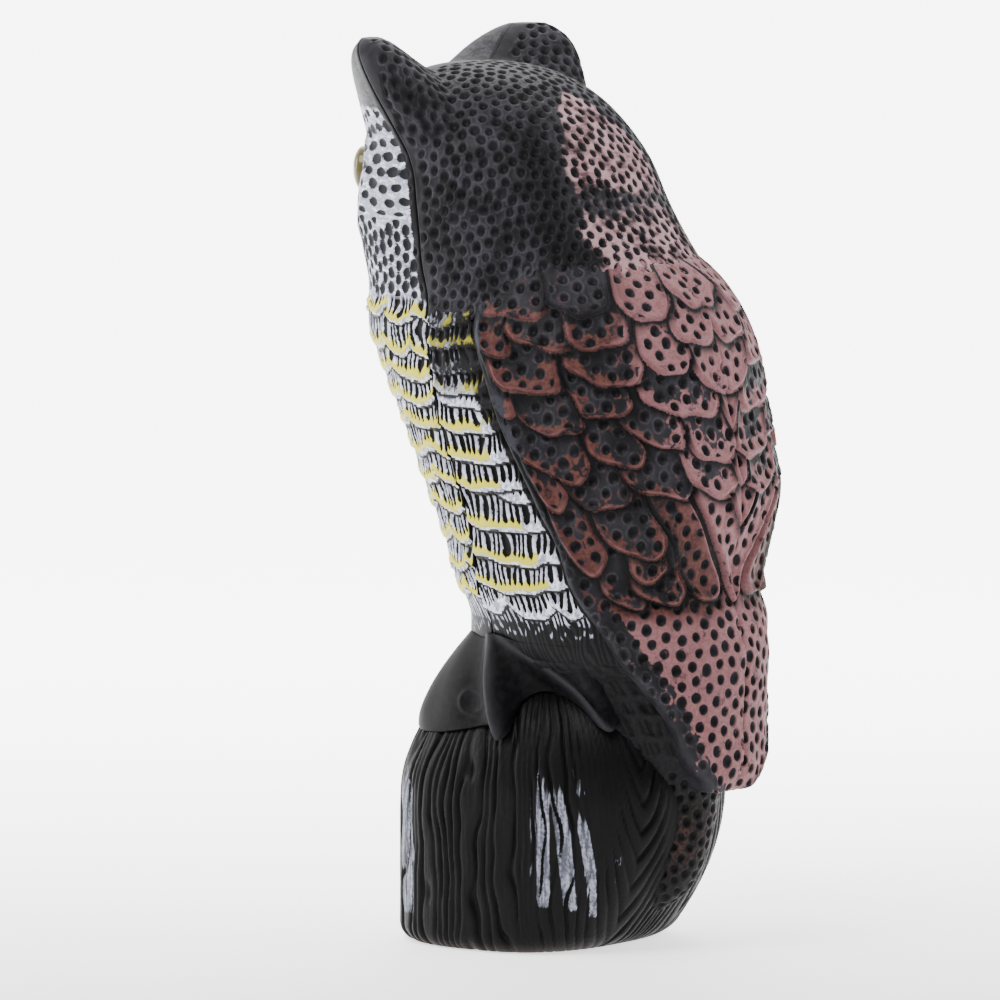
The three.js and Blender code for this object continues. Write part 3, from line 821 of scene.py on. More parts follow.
def dimple_tree():
    """Scatters points evenly over a skin and presses an oval pit with a soft raised rim round each."""
    tree = bpy.data.node_groups.new("Dimples", "GeometryNodeTree")
    new_socket = tree.interface.new_socket
    new_socket("Geometry", in_out="OUTPUT", socket_type="NodeSocketGeometry")
    kinds = {"Geometry": "Geometry", "Seed": "Int", "Material": "Material"}
    for label in ("Geometry", "Spacing", "Width", "Depth", "Rim", "Squash", "Raggedness", "Seed", "Material"):
        new_socket(label, in_out="INPUT", socket_type="NodeSocket" + kinds.get(label, "Float"))
    sketch = Sketch(tree)
    entry = tree.nodes.new("NodeGroupInput")
    given = {socket.name: Wire(sketch, socket) for socket in entry.outputs if socket.name}
    skin = given["Geometry"]

    weight = sketch.stored("dimpled")
    scatter = {
        "Mesh": skin,
        "Distance Min": given["Spacing"],
        "Density Max": MOST_DIMPLES,
        "Density Factor": weight,
        "Seed": given["Seed"],
    }
    settings = {"distribute_method": "POISSON"}
    scattered = sketch.node("GeometryNodeDistributePointsOnFaces", settings, scatter)
    points = spread_out(sketch, scattered, skin, given["Spacing"])
    position = sketch.node("GeometryNodeInputPosition")
    squash = sketch.node("ShaderNodeCombineXYZ", None, {0: 1.0, 1: 1.0, 2: given["Squash"]})
    pattern = sketch.node("ShaderNodeTexNoise", None, {"Scale": 150.0, "Detail": 1.0}, "Color")
    pattern = sketch.vector("SUBTRACT", pattern, (0.5, 0.5, 0.5))
    pushed = sketch.vector("MULTIPLY_ADD", pattern, (OUTLINE_DRIFT,) * 3, position)
    here = sketch.vector("MULTIPLY", pushed, squash)
    flat_points = sketch.move(points, Position=sketch.vector("MULTIPLY", position, squash))
    sockets = {"Geometry": flat_points, "Sample Position": here}
    nearest = sketch.node("GeometryNodeSampleNearest", {"domain": "POINT"}, sockets)
    settings = {"data_type": "FLOAT_VECTOR", "domain": "POINT"}
    sockets = {"Geometry": flat_points, "Value": position, "Index": nearest}
    centre = sketch.node("GeometryNodeSampleIndex", settings, sockets)
    size = sketch.node("FunctionNodeRandomValue", {"data_type": "FLOAT"}, {2: 0.85, 3: 1.15, 7: nearest}, 1)
    radius = given["Width"] * 0.5 * size
    aside = sketch.vector("SCALE", sketch.vector("SUBTRACT", here, centre), Scale=1 / radius)
    ragged = sketch.node("ShaderNodeTexNoise", None, {"Scale": 480.0, "Detail": 1.0}, "Fac")
    reach = sketch.vector("LENGTH", aside, output="Value") + (ragged - 0.5) * given["Raggedness"]

    bowl = reach.fade(1.15, 0.35)
    lip = reach.fade(0.85, 1.25) * reach.fade(1.9, 1.25)
    shown = weight.fade(0.05, 0.6)
    height = (lip * given["Rim"] - bowl * given["Depth"]) * shown
    normal = sketch.node("GeometryNodeInputNormal")
    moved = sketch.move(skin, Offset=sketch.vector("SCALE", normal, Scale=height))
    fresh = reach + (1 - shown) * NO_PIT
    newer = sketch.math("LESS_THAN", fresh, sketch.stored("pit"))
    before = sketch.stored("pit_aside", "FLOAT_VECTOR")
    kept = sketch.node("ShaderNodeMix", {"data_type": "VECTOR"}, {0: newer, 4: before, 5: aside}, 1)
    placed = sketch.store(moved, "pit_aside", kept, "FLOAT_VECTOR")
    marked = sketch.store(placed, "pit", sketch.math("MINIMUM", sketch.stored("pit"), fresh))
    real = sketch.node("GeometryNodeRealizeInstances", None, {"Geometry": marked})
    done = sketch.node("GeometryNodeSetMaterial", None, {"Geometry": real, "Material": given["Material"]})
    sketch.feed(tree.nodes.new("NodeGroupOutput").inputs[0], done)
    return tree


def press_dimples(piece, where, material, seed, **changes):
    """Presses dimples where an attribute of the piece says, and leaves it a plain mesh."""
    sizes = bpy.context.scene.owl_sizes
    values = {
        "Spacing": sizes.dimple_spacing,
        "Width": sizes.dimple_width,
        "Depth": sizes.dimple_depth,
        "Rim": sizes.dimple_rim,
        "Squash": sizes.dimple_squash,
        "Raggedness": 0.16,
        "Seed": seed,
        "Material": material,
        **changes,
    }
    write_values(piece.data, "dimpled", where)
    if "pit" not in piece.data.attributes:
        write_values(piece.data, "pit", np.full(np.size(where), NO_PIT), NO_PIT)
    tree = bpy.data.node_groups.get("Dimples") or dimple_tree()
    modifier = piece.modifiers.new("Dimples", "NODES")
    modifier.node_group = tree
    for item in tree.interface.items_tree:
        if item.in_out == "INPUT" and item.name in values:
            modifier[item.identifier] = values[item.name]
    return applied(piece)


# Finishes


def plain_grain(sketch, depth=0.00012):
    """The fine texture of moulded plastic."""
    return sketch.bump(sketch.noise(0.0011), depth, 0.6)


def pit_reach(sketch):
    """How far from the nearest dimple's middle, 1 at its edge: exact near the middle, where it is seen."""
    apart = sketch.vector("LENGTH", sketch.attribute("pit_aside", "Vector"), output="Value")
    return sketch.math("MAXIMUM", apart, sketch.attribute("pit") - 0.15)


def slit_apart(sketch):
    """How far aside of the nearest upright slit, as a share of the way from one slit to the next."""
    slits = sketch.attribute("slits")
    return sketch.math("ABSOLUTE", slits - sketch.math("ROUND", slits))


def dimpled_plastic(pit, cloud, fine):
    """Dark moulded plastic, lighter round its dimples and with painted shade in them."""
    base = cloud.fade(0.36, 0.62).blend("soot", "charcoal")
    # Ash round each dimple's rim: partly brushed paint, partly a painted highlight
    lip = pit.fade(0.9, 1.1) * pit.fade(1.5, 1.15)
    base = (lip * (fine * 0.6 + cloud).fade(0.6, 1.0) * 0.7).blend(base, "ash")
    # Painted shade: each dimple darkens towards its middle
    return pit.fade(1.0, 0.4).blend(base, "pit")


def breast_paint(sketch, fine, stroke, drift):
    """The breast's rows: white, yellow along their edges, with dark slits and darkened to black in places."""
    ragged = drift.swing(0.003) + stroke.swing(0.0028) + fine.swing(0.0014)
    above = sketch.attribute("above") + ragged
    below = sketch.attribute("below") + fine.swing(0.001)
    tone = (stroke * 0.6 + fine * 0.4).fade(0.42, 0.58).blend("grey_white", "white")
    tone = (above.fade(0.004, 0.010) * 0.6).blend(tone, "grey_white")
    band = (above + stroke.swing(0.005)).fade(0.0064, 0.0046) * above.fade(0.0006, 0.0014)
    # Darkened to black where the breast's shade mark says
    worn = (sketch.attribute("shade") + fine.swing(0.2) + stroke.swing(1.1)).fade(0.4, 0.7)
    tone = worn.blend(tone, "soot")
    gold = (sketch.attribute("gold") * 0.85 + drift.swing(0.9) + stroke.swing(0.5)).fade(0.42, 0.56)
    tone = (gold * band * (1 - worn * 0.6)).blend(tone, "gold")
    uneven = fine.swing(0.2) + stroke.swing(0.35) + drift.swing(0.35)
    tooth = above.ramp(0.0024, 0.0045, 0.0, 0.30) - slit_apart(sketch) - uneven
    cut = tooth.fade(-0.05, 0.04) * above.fade(0.0026, 0.0034)
    # Slits, and a painted shadow under the lower edge of the row above, take the pit's tone
    return sketch.math("MAXIMUM", cut, below.fade(0.0024, 0.0012) * 0.95).blend(tone, "pit")


def body_finish(sketch):
    """Head, face and breast: charcoal, white, yellow and a terracotta nape."""
    pit = pit_reach(sketch)
    fine = sketch.noise(0.0015, 4.0)
    brush = sketch.noise(0.0017, 3.0, (0.28, 0.28, 1.0))
    stroke = sketch.noise(0.0020, 3.0, (1.0, 1.0, 0.3))
    drift = sketch.noise(0.012, 2.0)
    base = dimpled_plastic(pit, drift, fine)
    # Painted shade on the head's sides: bare black, and pit-dark in the dimples
    base = sketch.attribute("dusk").blend(base, pit.fade(1.1, 0.6).blend("black", "pit"))
    scratched = (brush * 0.6 + fine * 0.4).fade(0.4, 0.66).blend("charcoal", "grey")
    base = (sketch.attribute("grey") + brush.swing(0.25)).fade(0.2, 0.8).blend(base, scratched)

    white = sketch.attribute("white")
    spot = white.fade(0.3, 0.8).blend(base, "spot")
    snow = (white + brush.swing(0.8) + drift.swing(0.35)).fade(0.36, 0.62)
    bare = (pit + brush.swing(0.34)).fade(0.95, 1.14)
    face = (brush * 0.65 + fine * 0.35).fade(0.44, 0.68).blend("grey_white", "white")
    tone = (bare * snow).blend(spot, face)

    rust = sketch.attribute("rust") + drift.swing(1.8) + brush.swing(0.5) - 0.27
    clay = (drift * 0.6 + brush * 0.4).fade(0.36, 0.6).blend("rust_light", "rust_pale")
    dry = (pit + fine.swing(0.2)).fade(0.86, 1.14) * rust.fade(0.34, 0.8)
    tone = dry.blend(tone, clay)
    tone = sketch.attribute("breast").blend(tone, breast_paint(sketch, fine, stroke, drift))
    # Painted shade: the parting line's groove is darkened to the pit's tone
    tone = sketch.attribute("line").fade(0.0008, 0.0004).blend(tone, "pit")
    return tone, 0.5 - pit.fade(1.0, 1.3) * 0.06 + fine * 0.08, plain_grain(sketch)


def wing_finish(sketch):
    """Wings: near black with slate gaps, terracotta brushed over the raised rims, partly lit by painted
    light.
    """
    pit = pit_reach(sketch)
    above = sketch.attribute("above")
    below = sketch.attribute("below")
    fine = sketch.noise(0.0015, 4.0)
    drift = sketch.noise(0.014)
    patch = sketch.noise(0.005)
    base = dimpled_plastic(pit, drift, fine)
    slate = sketch.attribute("slate") * pit.fade(1.0, 1.3) * patch.fade(0.3, 0.6)
    base = slate.blend(base, "slate")

    gap = (below + fine.swing(0.0012) + patch.swing(0.004)).fade(0.0026, 0.0008)
    rim = (above + fine.swing(0.0008)).fade(-0.0005, 0.0004)
    lip = pit.fade(0.85, 1.1) * pit.fade(1.75, 1.25)
    uneven = patch.swing(0.012) + drift.swing(0.010) + fine.swing(0.003)
    reach = sketch.attribute("clay") + uneven + lip * 0.0022
    clay = reach.fade(-0.0006, 0.0012) * (pit + fine.swing(0.3)).fade(0.85, 1.1) * rim
    arcs = lip * (patch + fine * 0.6).fade(0.85, 1.05) * reach.fade(-0.011, -0.003)
    clay = sketch.math("MAXIMUM", clay, arcs * 0.55) * (1 - gap) * (drift + fine * 0.5).fade(0.42, 0.62)
    clay = clay * (1 - (patch + fine * 0.4).fade(0.62, 0.42) * 0.8)
    # Lighter terracotta along the rims' crests: partly dry-brushed paint, partly a painted highlight
    crest_paint_and_highlight = above.fade(0.0004, 0.001) * above.fade(0.0032, 0.0014)
    # Lighter towards the wing's back and lower part and on the crests: partly paler paint, partly painted
    # light
    pale = sketch.attribute("pale") + patch.swing(0.7) + crest_paint_and_highlight * 0.35
    # Terracotta and light terracotta serve here partly as the shaded and the lit tone of one paint
    clay_tone = pale.fade(0.1, 0.9).blend("rust", "rust_light")
    clay_tone = ((fine * 0.6 + patch * 0.4).fade(0.44, 0.6) * 0.45).blend(clay_tone, "ochre")
    shadow = (below + fine.swing(0.0022)).fade(0.0055, 0.0004)
    tone = (shadow * 0.85).blend(clay.blend(base, clay_tone), "pit")
    return tone, 0.46 + fine * 0.1, plain_grain(sketch)


def underside_finish(sketch):
    """Belly and tail strip: bare black with dimples and a faint tint by the tail's end."""
    pit = pit_reach(sketch)
    fine = sketch.noise(0.0018)
    base = fine.fade(0.3, 0.7).blend("black", "soot")
    cut = slit_apart(sketch).fade(0.3, 0.16) * sketch.attribute("barred")
    # Painted shade: the bars and dimples take the pit's tone
    base = sketch.math("MAXIMUM", cut, pit.fade(1.05, 0.75)).blend(base, "pit")
    tint = sketch.attribute("rust") * pit.fade(1.0, 1.25) * fine.fade(0.35, 0.7)
    return (tint * 0.35).blend(base, "ochre"), 0.42 + fine * 0.12, plain_grain(sketch)


def foot_finish(sketch):
    """Satin black, with a painted sheen along the ridges of the narrow toes."""
    fine = sketch.noise(0.003)
    tone = fine.fade(0.35, 0.75).blend("black", "soot")
    # Painted sheen: lighter grey along the toes' ridges
    tone = (sketch.attribute("worn") * 0.35).blend(tone, "grey")
    return tone, 0.42 + fine * 0.14, plain_grain(sketch, 0.00006)


def stump_finish(sketch):
    """Bark: black grooves, satin ridges and dry-brushed streaks."""
    groove = sketch.attribute("groove")
    fine = sketch.noise(0.0014, 4.0)
    stroke = sketch.noise(0.0016, 4.0, (1.0, 1.0, 0.09))
    drift = sketch.noise(0.01, 2.0, (1.0, 1.0, 0.3))
    # Painted shade: the grooves take the pit's tone, darker than the bare black
    base = groove.fade(0.2, 0.8).blend("pit", "black")
    base = (drift.fade(0.5, 0.8) * 0.5).blend(base, "soot")
    streak = sketch.attribute("streak") * 0.95 + stroke.swing(1.4) + drift.swing(0.4)
    brushed = streak.fade(0.52, 0.8) * (groove + fine.swing(0.5)).fade(0.3, 0.6)
    frost = (stroke + fine.swing(0.6)).fade(0.4, 0.7).blend("steel", "frost")
    tone = (brushed * 0.95).blend(base, frost)
    tone = (sketch.attribute("sole") * 0.5).blend(tone, "ochre_dark")
    grain = stroke + groove.swing(0.6) + fine.swing(0.3)
    return tone, 0.36 + brushed * 0.15 + fine * 0.12, sketch.bump(grain, 0.0006, 0.5)


def beak_finish(sketch):
    """Smooth dark horn."""
    fine = sketch.noise(0.002)
    return fine.fade(0.35, 0.7).blend("soot", "charcoal"), 0.35 + fine * 0.1, plain_grain(sketch, 0.00006)


def eye_finish(sketch):
    """A yellow iris, olive towards its edge, round a black pupil."""
    away = sketch.attribute("from_centre")
    spokes = sketch.noise(0.0011)
    iris = away.fade(0.0045, 0.0085).blend("iris", "iris_edge")
    iris = (spokes.fade(0.45, 0.75) * 0.35).blend(iris, "iris_edge")
    tone = away.fade(0.0054, 0.0050).blend(iris, "pupil")
    return tone, 0.08 + spokes * 0.05, sketch.bump(spokes, 0.00002, 0.2)


# Each finish with how strongly it mirrors the studio
FINISHES = {
    "head_and_breast": (body_finish, 0.08),
    "wings": (wing_finish, 0.08),
    "belly_and_tail": (underside_finish, 0.08),
    "feet": (foot_finish, 0.05),
    "bark": (stump_finish, 0.06),
    "beak": (beak_finish, 0.08),
    "eye": (eye_finish, 0.3),
}


# Sizes and colours


def length(label, text, millimetres):
    return bpy.props.FloatProperty(
        name=label, description=text, default=millimetres * MM, min=0.0, unit="LENGTH", precision=5
    )


def share(label, text, default):
    return bpy.props.FloatProperty(name=label, description=text, default=default, min=0.0, max=5.0)


def light_power(label, text, watts):
    return bpy.props.FloatProperty(name=label, description=text, default=watts, min=0.0, unit="POWER")


def turn_angle(label, text, degrees):
    return bpy.props.FloatProperty(
        name=label, description=text, default=math.radians(degrees), subtype="ANGLE"
    )


def tint(label, text, *rgb):
    return bpy.props.FloatVectorProperty(
        name=label, description=text, default=(*rgb, 1.0), size=4, min=0.0, max=1.0, subtype="COLOR"
    )


class OwlSizes(bpy.types.PropertyGroup):
    mesh_step: length("Mesh step", "Distance between the points of the fine surfaces", 0.85)
    wing_mesh_step: length("Wing mesh step", "Distance between the points of the wings", 0.64)
    wing_lift: length("Wing feather lift", "Height of a wing feather's lower edge", 2.9)
    wing_fall: length("Wing feather fall", "Length over which a wing feather thins", 19)
    wing_rim: length("Wing feather rim", "Width of the rounded rim of a wing feather", 1.5)
    breast_lift: length("Breast feather lift", "Height of a breast feather's lower edge", 1.7)
    breast_fall: length("Breast feather fall", "Length over which a breast feather thins", 13)
    breast_rim: length("Breast feather rim", "Width of the rounded rim of a breast feather", 0.9)
    breast_feather: length("Breast feather width", "Width of a breast feather in front", 23)
    breast_drop: length("Breast feather drop", "How far a breast feather's edge hangs", 4.5)
    front_slit: length("Front slit pitch", "From one upright slit of the breast to the next, in front", 3.2)
    flank_slit: length("Flank slit pitch", "The same behind the parting line", 3.5)
    ear_hollow: length("Ear hollow", "Depth of the hollow in each ear's front", 5.5)
    slit_depth: length("Slit depth", "Depth of the breast's slits", 0.9)
    dimple_spacing: length("Dimple spacing", "Least distance between two dimples", 5.2)
    dimple_width: length("Dimple width", "Width of a dimple", 3.7)
    dimple_depth: length("Dimple depth", "Depth of a dimple", 1.4)
    dimple_rim: length("Dimple rim", "Height of a dimple's raised rim", 0.25)
    dimple_squash: share("Dimple squash", "Width of a dimple as a share of its height", 0.85)
    groove_pitch: length("Bark groove pitch", "From one groove of the stump's bark to the next", 5.6)
    groove_depth: length("Bark groove depth", "Depth of the bark's grooves", 1.4)


class OwlPaint(bpy.types.PropertyGroup):
    black: tint("Black", "Bare moulded plastic", 0.0046, 0.0043, 0.0046)
    soot: tint("Soot", "Darker brushed plastic", 0.0085, 0.008, 0.0095)
    charcoal: tint("Charcoal", "The head's plastic", 0.018, 0.0172, 0.021)
    # Ash is brushed paint on the dimples' rims and also a painted highlight there
    ash: tint("Ash", "Light brushing on the dimples' rims", 0.042, 0.041, 0.05)
    slate: tint("Slate", "The gaps between the wing's feathers", 0.026, 0.026, 0.034)
    # Grey also gives the feet their painted sheen
    grey: tint("Grey", "The smooth fronts of the ears", 0.055, 0.054, 0.062)
    # Pit is darker than the bare plastic: painted shade on the floors of dimples, slits, bars and grooves
    pit: tint("Pit", "The floor of dimples and slits", 0.002, 0.0019, 0.0021)
    spot: tint("Spot", "The spots of the face", 0.011, 0.011, 0.0145)
    white: tint("White", "White brushing of face and breast", 0.8, 0.81, 0.9)
    grey_white: tint("Grey white", "Thin white brushing", 0.27, 0.275, 0.36)
    gold: tint("Yellow", "Yellow edges of the breast rows", 0.56, 0.51, 0.045)
    # On the wings, terracotta and light terracotta are also the shaded and the lit tone: painted light
    rust: tint("Terracotta", "Brushing of nape and wings", 0.062, 0.0222, 0.0215)
    rust_light: tint("Light terracotta", "Thicker brushing of nape and wings", 0.23, 0.108, 0.12)
    rust_pale: tint("Pale terracotta", "Greyed terracotta of the nape", 0.33, 0.205, 0.215)
    ochre: tint("Ochre", "Tint of the wings and of the tail's end", 0.12, 0.05, 0.033)
    ochre_dark: tint("Dark ochre", "The stump's rubbed bottom rim", 0.03, 0.02, 0.016)
    frost: tint("Frost", "Thick streaks on the stump", 0.3, 0.31, 0.38)
    steel: tint("Steel", "Thin streaks on the stump", 0.075, 0.078, 0.1)
    iris: tint("Iris", "The eyes' yellow", 0.36, 0.26, 0.03)
    iris_edge: tint("Iris edge", "The olive edge of the eyes", 0.1, 0.086, 0.032)
    pupil: tint("Pupil", "The eyes' pupil", 0.003, 0.003, 0.003)


class OwlStage(bpy.types.PropertyGroup):
    azimuth: turn_angle("Azimuth", "Camera's turn from the owl's front", 125)
    elevation: turn_angle("Elevation", "Camera's height above level", 6)
    distance: length("Distance", "From the camera to the owl", 6000)
    view_height: length("View height", "Height that the image's middle looks at", 196)
    view_aside: length("View aside", "How far the image's middle lies to the left of the owl's axis", 20)
    view_width: length("View width", "Width that the image takes in at the owl", 444.6)
    floor: tint("Floor", "Pale floor", 0.9, 0.9, 0.9)
    backdrop_light: share("Backdrop light", "Strength of the even light from behind the owl", 2.6)
    room_light: share("Room light", "Strength of the even light from the camera's side", 0.3)
    floor_glow: share("Floor glow", "Light that the floor gives off behind the owl, as a backdrop does", 6.0)
    key_power: light_power("Key light", "Power of the main soft light", 34)
    side_power: light_power("Side light", "Power of each side light", 9)


# Owl

SIDES = ((1, "left"), (-1, "right"))
FRONT_COLUMNS = 250
NAPE_COLUMNS = 370
FLANK_COLUMNS = 84
TAIL_COLUMNS = 200
# Places where the sheets of the front, the nape, the flanks and the tail end
FRONT_FOOT, NAPE_FOOT, FLANK_TOP, TAIL_TOP = 0.025, 0.572, 0.605, 0.06
BREAST_TOP = 287 * MM
BREAST_REACH, TAIL_REACH = 96, 155  # how far the rows of feathers run to each side, in mm
GROOVE_DEPTH, GROOVE_WIDTH = 0.6 * MM, 0.45 * MM  # along the mould's parting line
CREASE_DEPTH, CREASE = 0.9 * MM, (315, 1.6)  # across the nape, at a height and with a width in mm
FLANK_TUCK, FLANK_END = 1.2 * MM, (0.578, 0.59)  # how deep the flank ends, between which places
BELLY_TUCK, BELLY_START = 1.5 * MM, (0.03, 0.045)
BAR_DEPTH, BAR_PITCH, BAR_END = 0.7 * MM, 4.6 * MM, (-0.13, -0.1)
LOWER_TAIL = -0.15, -0.12

# In mm: heights between which the head's paint, painted shade and dimples change, the middle and width of a
# band where its terracotta thins, and how far from an eye and from the parting line the dimples begin
GREY_CROWN = 366, 379
RUST_WIDENS, RUST_ENDS, RUST_THINS = (347, 370), (371, 383), (331, 6)
SIDE_SHADE_FROM, SIDE_SHADE_TO = (296, 312), (352, 368)
OVALS_FROM, OVALS_TO, DOTS_TO = (322, 329), (368, 376), (320, 327)
BARE_CROWN = 368, 392
EYE_CLEAR, LINE_CLEAR = (11, 13.5), (0.8, 2.6)

SKIRT = np.array([1.0, 0.75, 0.5, 0.25])  # steps down the hidden skirt of a wing, as shares of its depth
FACE_OVALS = {"Spacing": 6.9 * MM, "Width": 7.0 * MM, "Squash": 1.7, "Depth": 0.8 * MM, "Rim": 0.15 * MM}
FACE_DOTS = {"Spacing": 5.2 * MM, "Width": 4.6 * MM, "Squash": 0.9, "Depth": 0.8 * MM, "Rim": 0.15 * MM}
NAPE_DIMPLES = {"Width": 4.2 * MM, "Squash": 0.8}
WING_DIMPLES = {"Spacing": 6.4 * MM, "Width": 4.5 * MM, "Squash": 0.85}


def column_grid(start, end, count, place):
    """Angles of a grid whose rows run from a start angle to an end angle that change with the place."""
    part = np.linspace(0, 1, count)[None, :]
    first, last = start(place)[:, None], end(place)[:, None]
    return first + (last - first) * part, np.repeat(place[:, None], count, axis=1)


def even_marks(grid, value, *names):
    """Marks that have the same value all over a grid."""
    return dict.fromkeys(names, np.full(np.shape(grid), value))


def breast_zone(angle, place):
    """1 on the breast and 0 on the head above it."""
    edge = BREAST_TOP + 2.5 * MM * wobble(np.abs(angle) * 1.6, 0, 17)
    return 1 - smoothstep(up(place), edge, edge + 3 * MM)


def breast_skin(across, place, feathers, slit_pitch, zone, sizes, seed):
    """Relief and marks of the breast's rows."""
    height = up(place)
    sway = 0.9 * MM * wobble(across / 0.012, height / 0.02, seed + 2)
    relief, above, below, value, _ = lay_feathers(
        feathers, across, height + sway, sizes.breast_lift, sizes.breast_fall, sizes.breast_rim, row_distance
    )
    slits = slit_turn(across - 0.12 * height, height, slit_pitch, seed)
    slits = slits + (height - np.minimum(above, 0.1)) / 0.013
    apart = np.abs(slits - np.round(slits)) - slit_share(above, 2.4 * MM, 5.5 * MM)
    cut = sizes.slit_depth * (1 - smoothstep(apart, -0.16, 0.06)) * grows(above, 2.6, 4)
    cut = cut * grows(below, 0.3, 1.4) * (above < FAR)
    turn = across / FLAT
    marks = {
        "above": above,
        "below": below,
        "slits": slits,
        "breast": zone,
        "gold": breast_gold(turn, place) * value,
        "shade": breast_shade(turn, place),
    }
    return (relief - 0.35 * sizes.breast_lift - cut) * zone, marks


def breast_shade(turn, place):
    """Where the breast is darkened to black: by the wings, at the foot, and behind the line at the top."""
    turn, height = np.abs(turn), up(place)
    gap = (wing_edge(place) - turn) * FLAT
    beside = 1 - grows(gap, -1, 2 + 5 * smoothstep(place, 0.25, 0.45))
    behind = smoothstep(turn - parting(place), -0.01, 0.03) * smoothstep(place, 0.38, 0.5)
    low_line = 144.5 * MM + 2.2 * MM * wobble(turn / 0.1, 0, 19)
    foot = 1 - grows(height, 146, 151) - 0.55 * ridge(height - low_line, 1.7 * MM)
    return np.clip(0.95 * beside + 0.68 * behind + foot, 0, 1)


def breast_gold(turn, place):
    """How yellow the breast's lower edges are: white in the lowest rows and near the wings' lower part."""
    gap = (wing_edge(place) - np.abs(turn)) * FLAT
    near_wing = grows(gap, 6, 13) + smoothstep(place, 0.36, 0.46)
    return smoothstep(place, 0.1, 0.14) * np.clip(near_wing, 0, 1)


def parting_groove(angle, place):
    """A narrow groove where the two halves of the mould met, and the distance from it."""
    distance = np.abs(np.abs(angle) - parting(place)) * FLAT
    return -GROOVE_DEPTH * ridge(distance, GROOVE_WIDTH), distance


def head_marks(angle, place, points):
    """Where the head is white, grey, terracotta or darkened by painted shade, and where its dimples lie."""
    turn = np.degrees(np.abs(angle))
    height = points[..., 2]
    drift = wobble(np.abs(angle) * 1.2, height / 0.05, 31)
    front = smoothstep(np.degrees(parting(place)) - turn, 1.2, 5.0)
    crown = grows(height, *GREY_CROWN)
    edge = 147.5 + 12 * grows(height, *RUST_WIDENS) + 30 * grows(height, *RUST_ENDS)
    rust = smoothstep(turn - edge - 3.0 * drift, -4, 4) * (1 - 0.45 * hump(height, *RUST_THINS))
    # Painted shade: a darker band down each side of the head, in front of the nape's terracotta
    dusk = ridge(turn - 140, 9) * grows(height, *SIDE_SHADE_FROM) * (1 - grows(height, *SIDE_SHADE_TO))
    eye = grows(eye_reach(angle, place) * OWL_HEIGHT, *EYE_CLEAR)
    beak = smoothstep(np.hypot(turn / 9, (place - 0.75) / 0.06), 0.9, 1.2)
    return {
        "white": front * (1 - crown),
        "grey": front * crown,
        "rust": rust,
        "dusk": 0.8 * dusk,
        "clear": eye * beak,
    }


class OWL_OT_front(bpy.types.Operator):
    """Face and breast, from one parting line round the front to the other."""

    bl_idname = "owl.front"
    bl_label = "Face and breast"

    def execute(self, context):
        sizes = context.scene.owl_sizes
        places = even_places(FRONT_FOOT, CROWN, sizes.mesh_step)
        angle, place = column_grid(lambda p: -parting(p), parting, FRONT_COLUMNS, places)
        zone = breast_zone(angle, place)
        chance = np.random.default_rng(11)
        width, drop = sizes.breast_feather / MM, sizes.breast_drop / MM
        feathers = []
        for bottom in FRONT_ROWS:
            feathers += feather_row(bottom, width, drop, -BREAST_REACH, BREAST_REACH, chance)
        relief, marks = breast_skin(angle * FLAT, place, feathers, sizes.front_slit, zone, sizes, 7)
        groove, line = parting_groove(angle, place)
        turn = np.degrees(np.abs(angle))
        hollow = sizes.ear_hollow * hump(up(place), 378, 26) * ridge(turn - 36, 34)
        hollow = hollow * grows(line, 0, 7)
        points, _ = body_points(angle, place, (relief + groove - hollow) * dome_factor(place))
        head = head_marks(angle, place, points)
        clear = head.pop("clear") * (1 - zone) * grows(line, *LINE_CLEAR)
        piece = sheet_piece("owl_front", points, {**marks, **head, "line": line}, body_heart(0.5))
        height = points[..., 2]
        streaked = clear * grows(height, *OVALS_FROM) * (1 - grows(height, *OVALS_TO))
        dotted = clear * (1 - grows(height, *DOTS_TO))
        press_dimples(piece, streaked, paint("head_and_breast"), 3, **FACE_OVALS)
        press_dimples(piece, dotted, paint("head_and_breast"), 4, **FACE_DOTS)
        return settle(piece)


class OWL_OT_nape(bpy.types.Operator):
    """Back of the head and the nape, behind the parting line."""

    bl_idname = "owl.nape"
    bl_label = "Nape"

    def execute(self, context):
        places = even_places(NAPE_FOOT, CROWN, 0.74 * context.scene.owl_sizes.mesh_step)
        angle, place = column_grid(parting, lambda p: 2 * math.pi - parting(p), NAPE_COLUMNS, places)
        angle = np.where(angle > math.pi, angle - 2 * math.pi, angle)
        groove, line = parting_groove(angle, place)
        crease = CREASE_DEPTH * hump(up(place), *CREASE) * smoothstep(np.abs(angle), 2.6, 2.75)
        points, _ = body_points(angle, place, (groove - crease) * dome_factor(place))
        head = head_marks(angle, place, points)
        bare = 9 * MM * grows(points[..., 2], *BARE_CROWN)
        clear = head.pop("clear") * grows(line - bare, *LINE_CLEAR)
        none = even_marks(angle, 0.0, "white", "grey", "slits", "breast", "gold", "shade")
        marks = {**head, **none, **even_marks(angle, FAR, "above", "below"), "line": line}
        piece = sheet_piece("owl_nape", points, marks, body_heart(0.7))
        press_dimples(piece, clear, paint("head_and_breast"), 8, **NAPE_DIMPLES)
        return settle(piece)


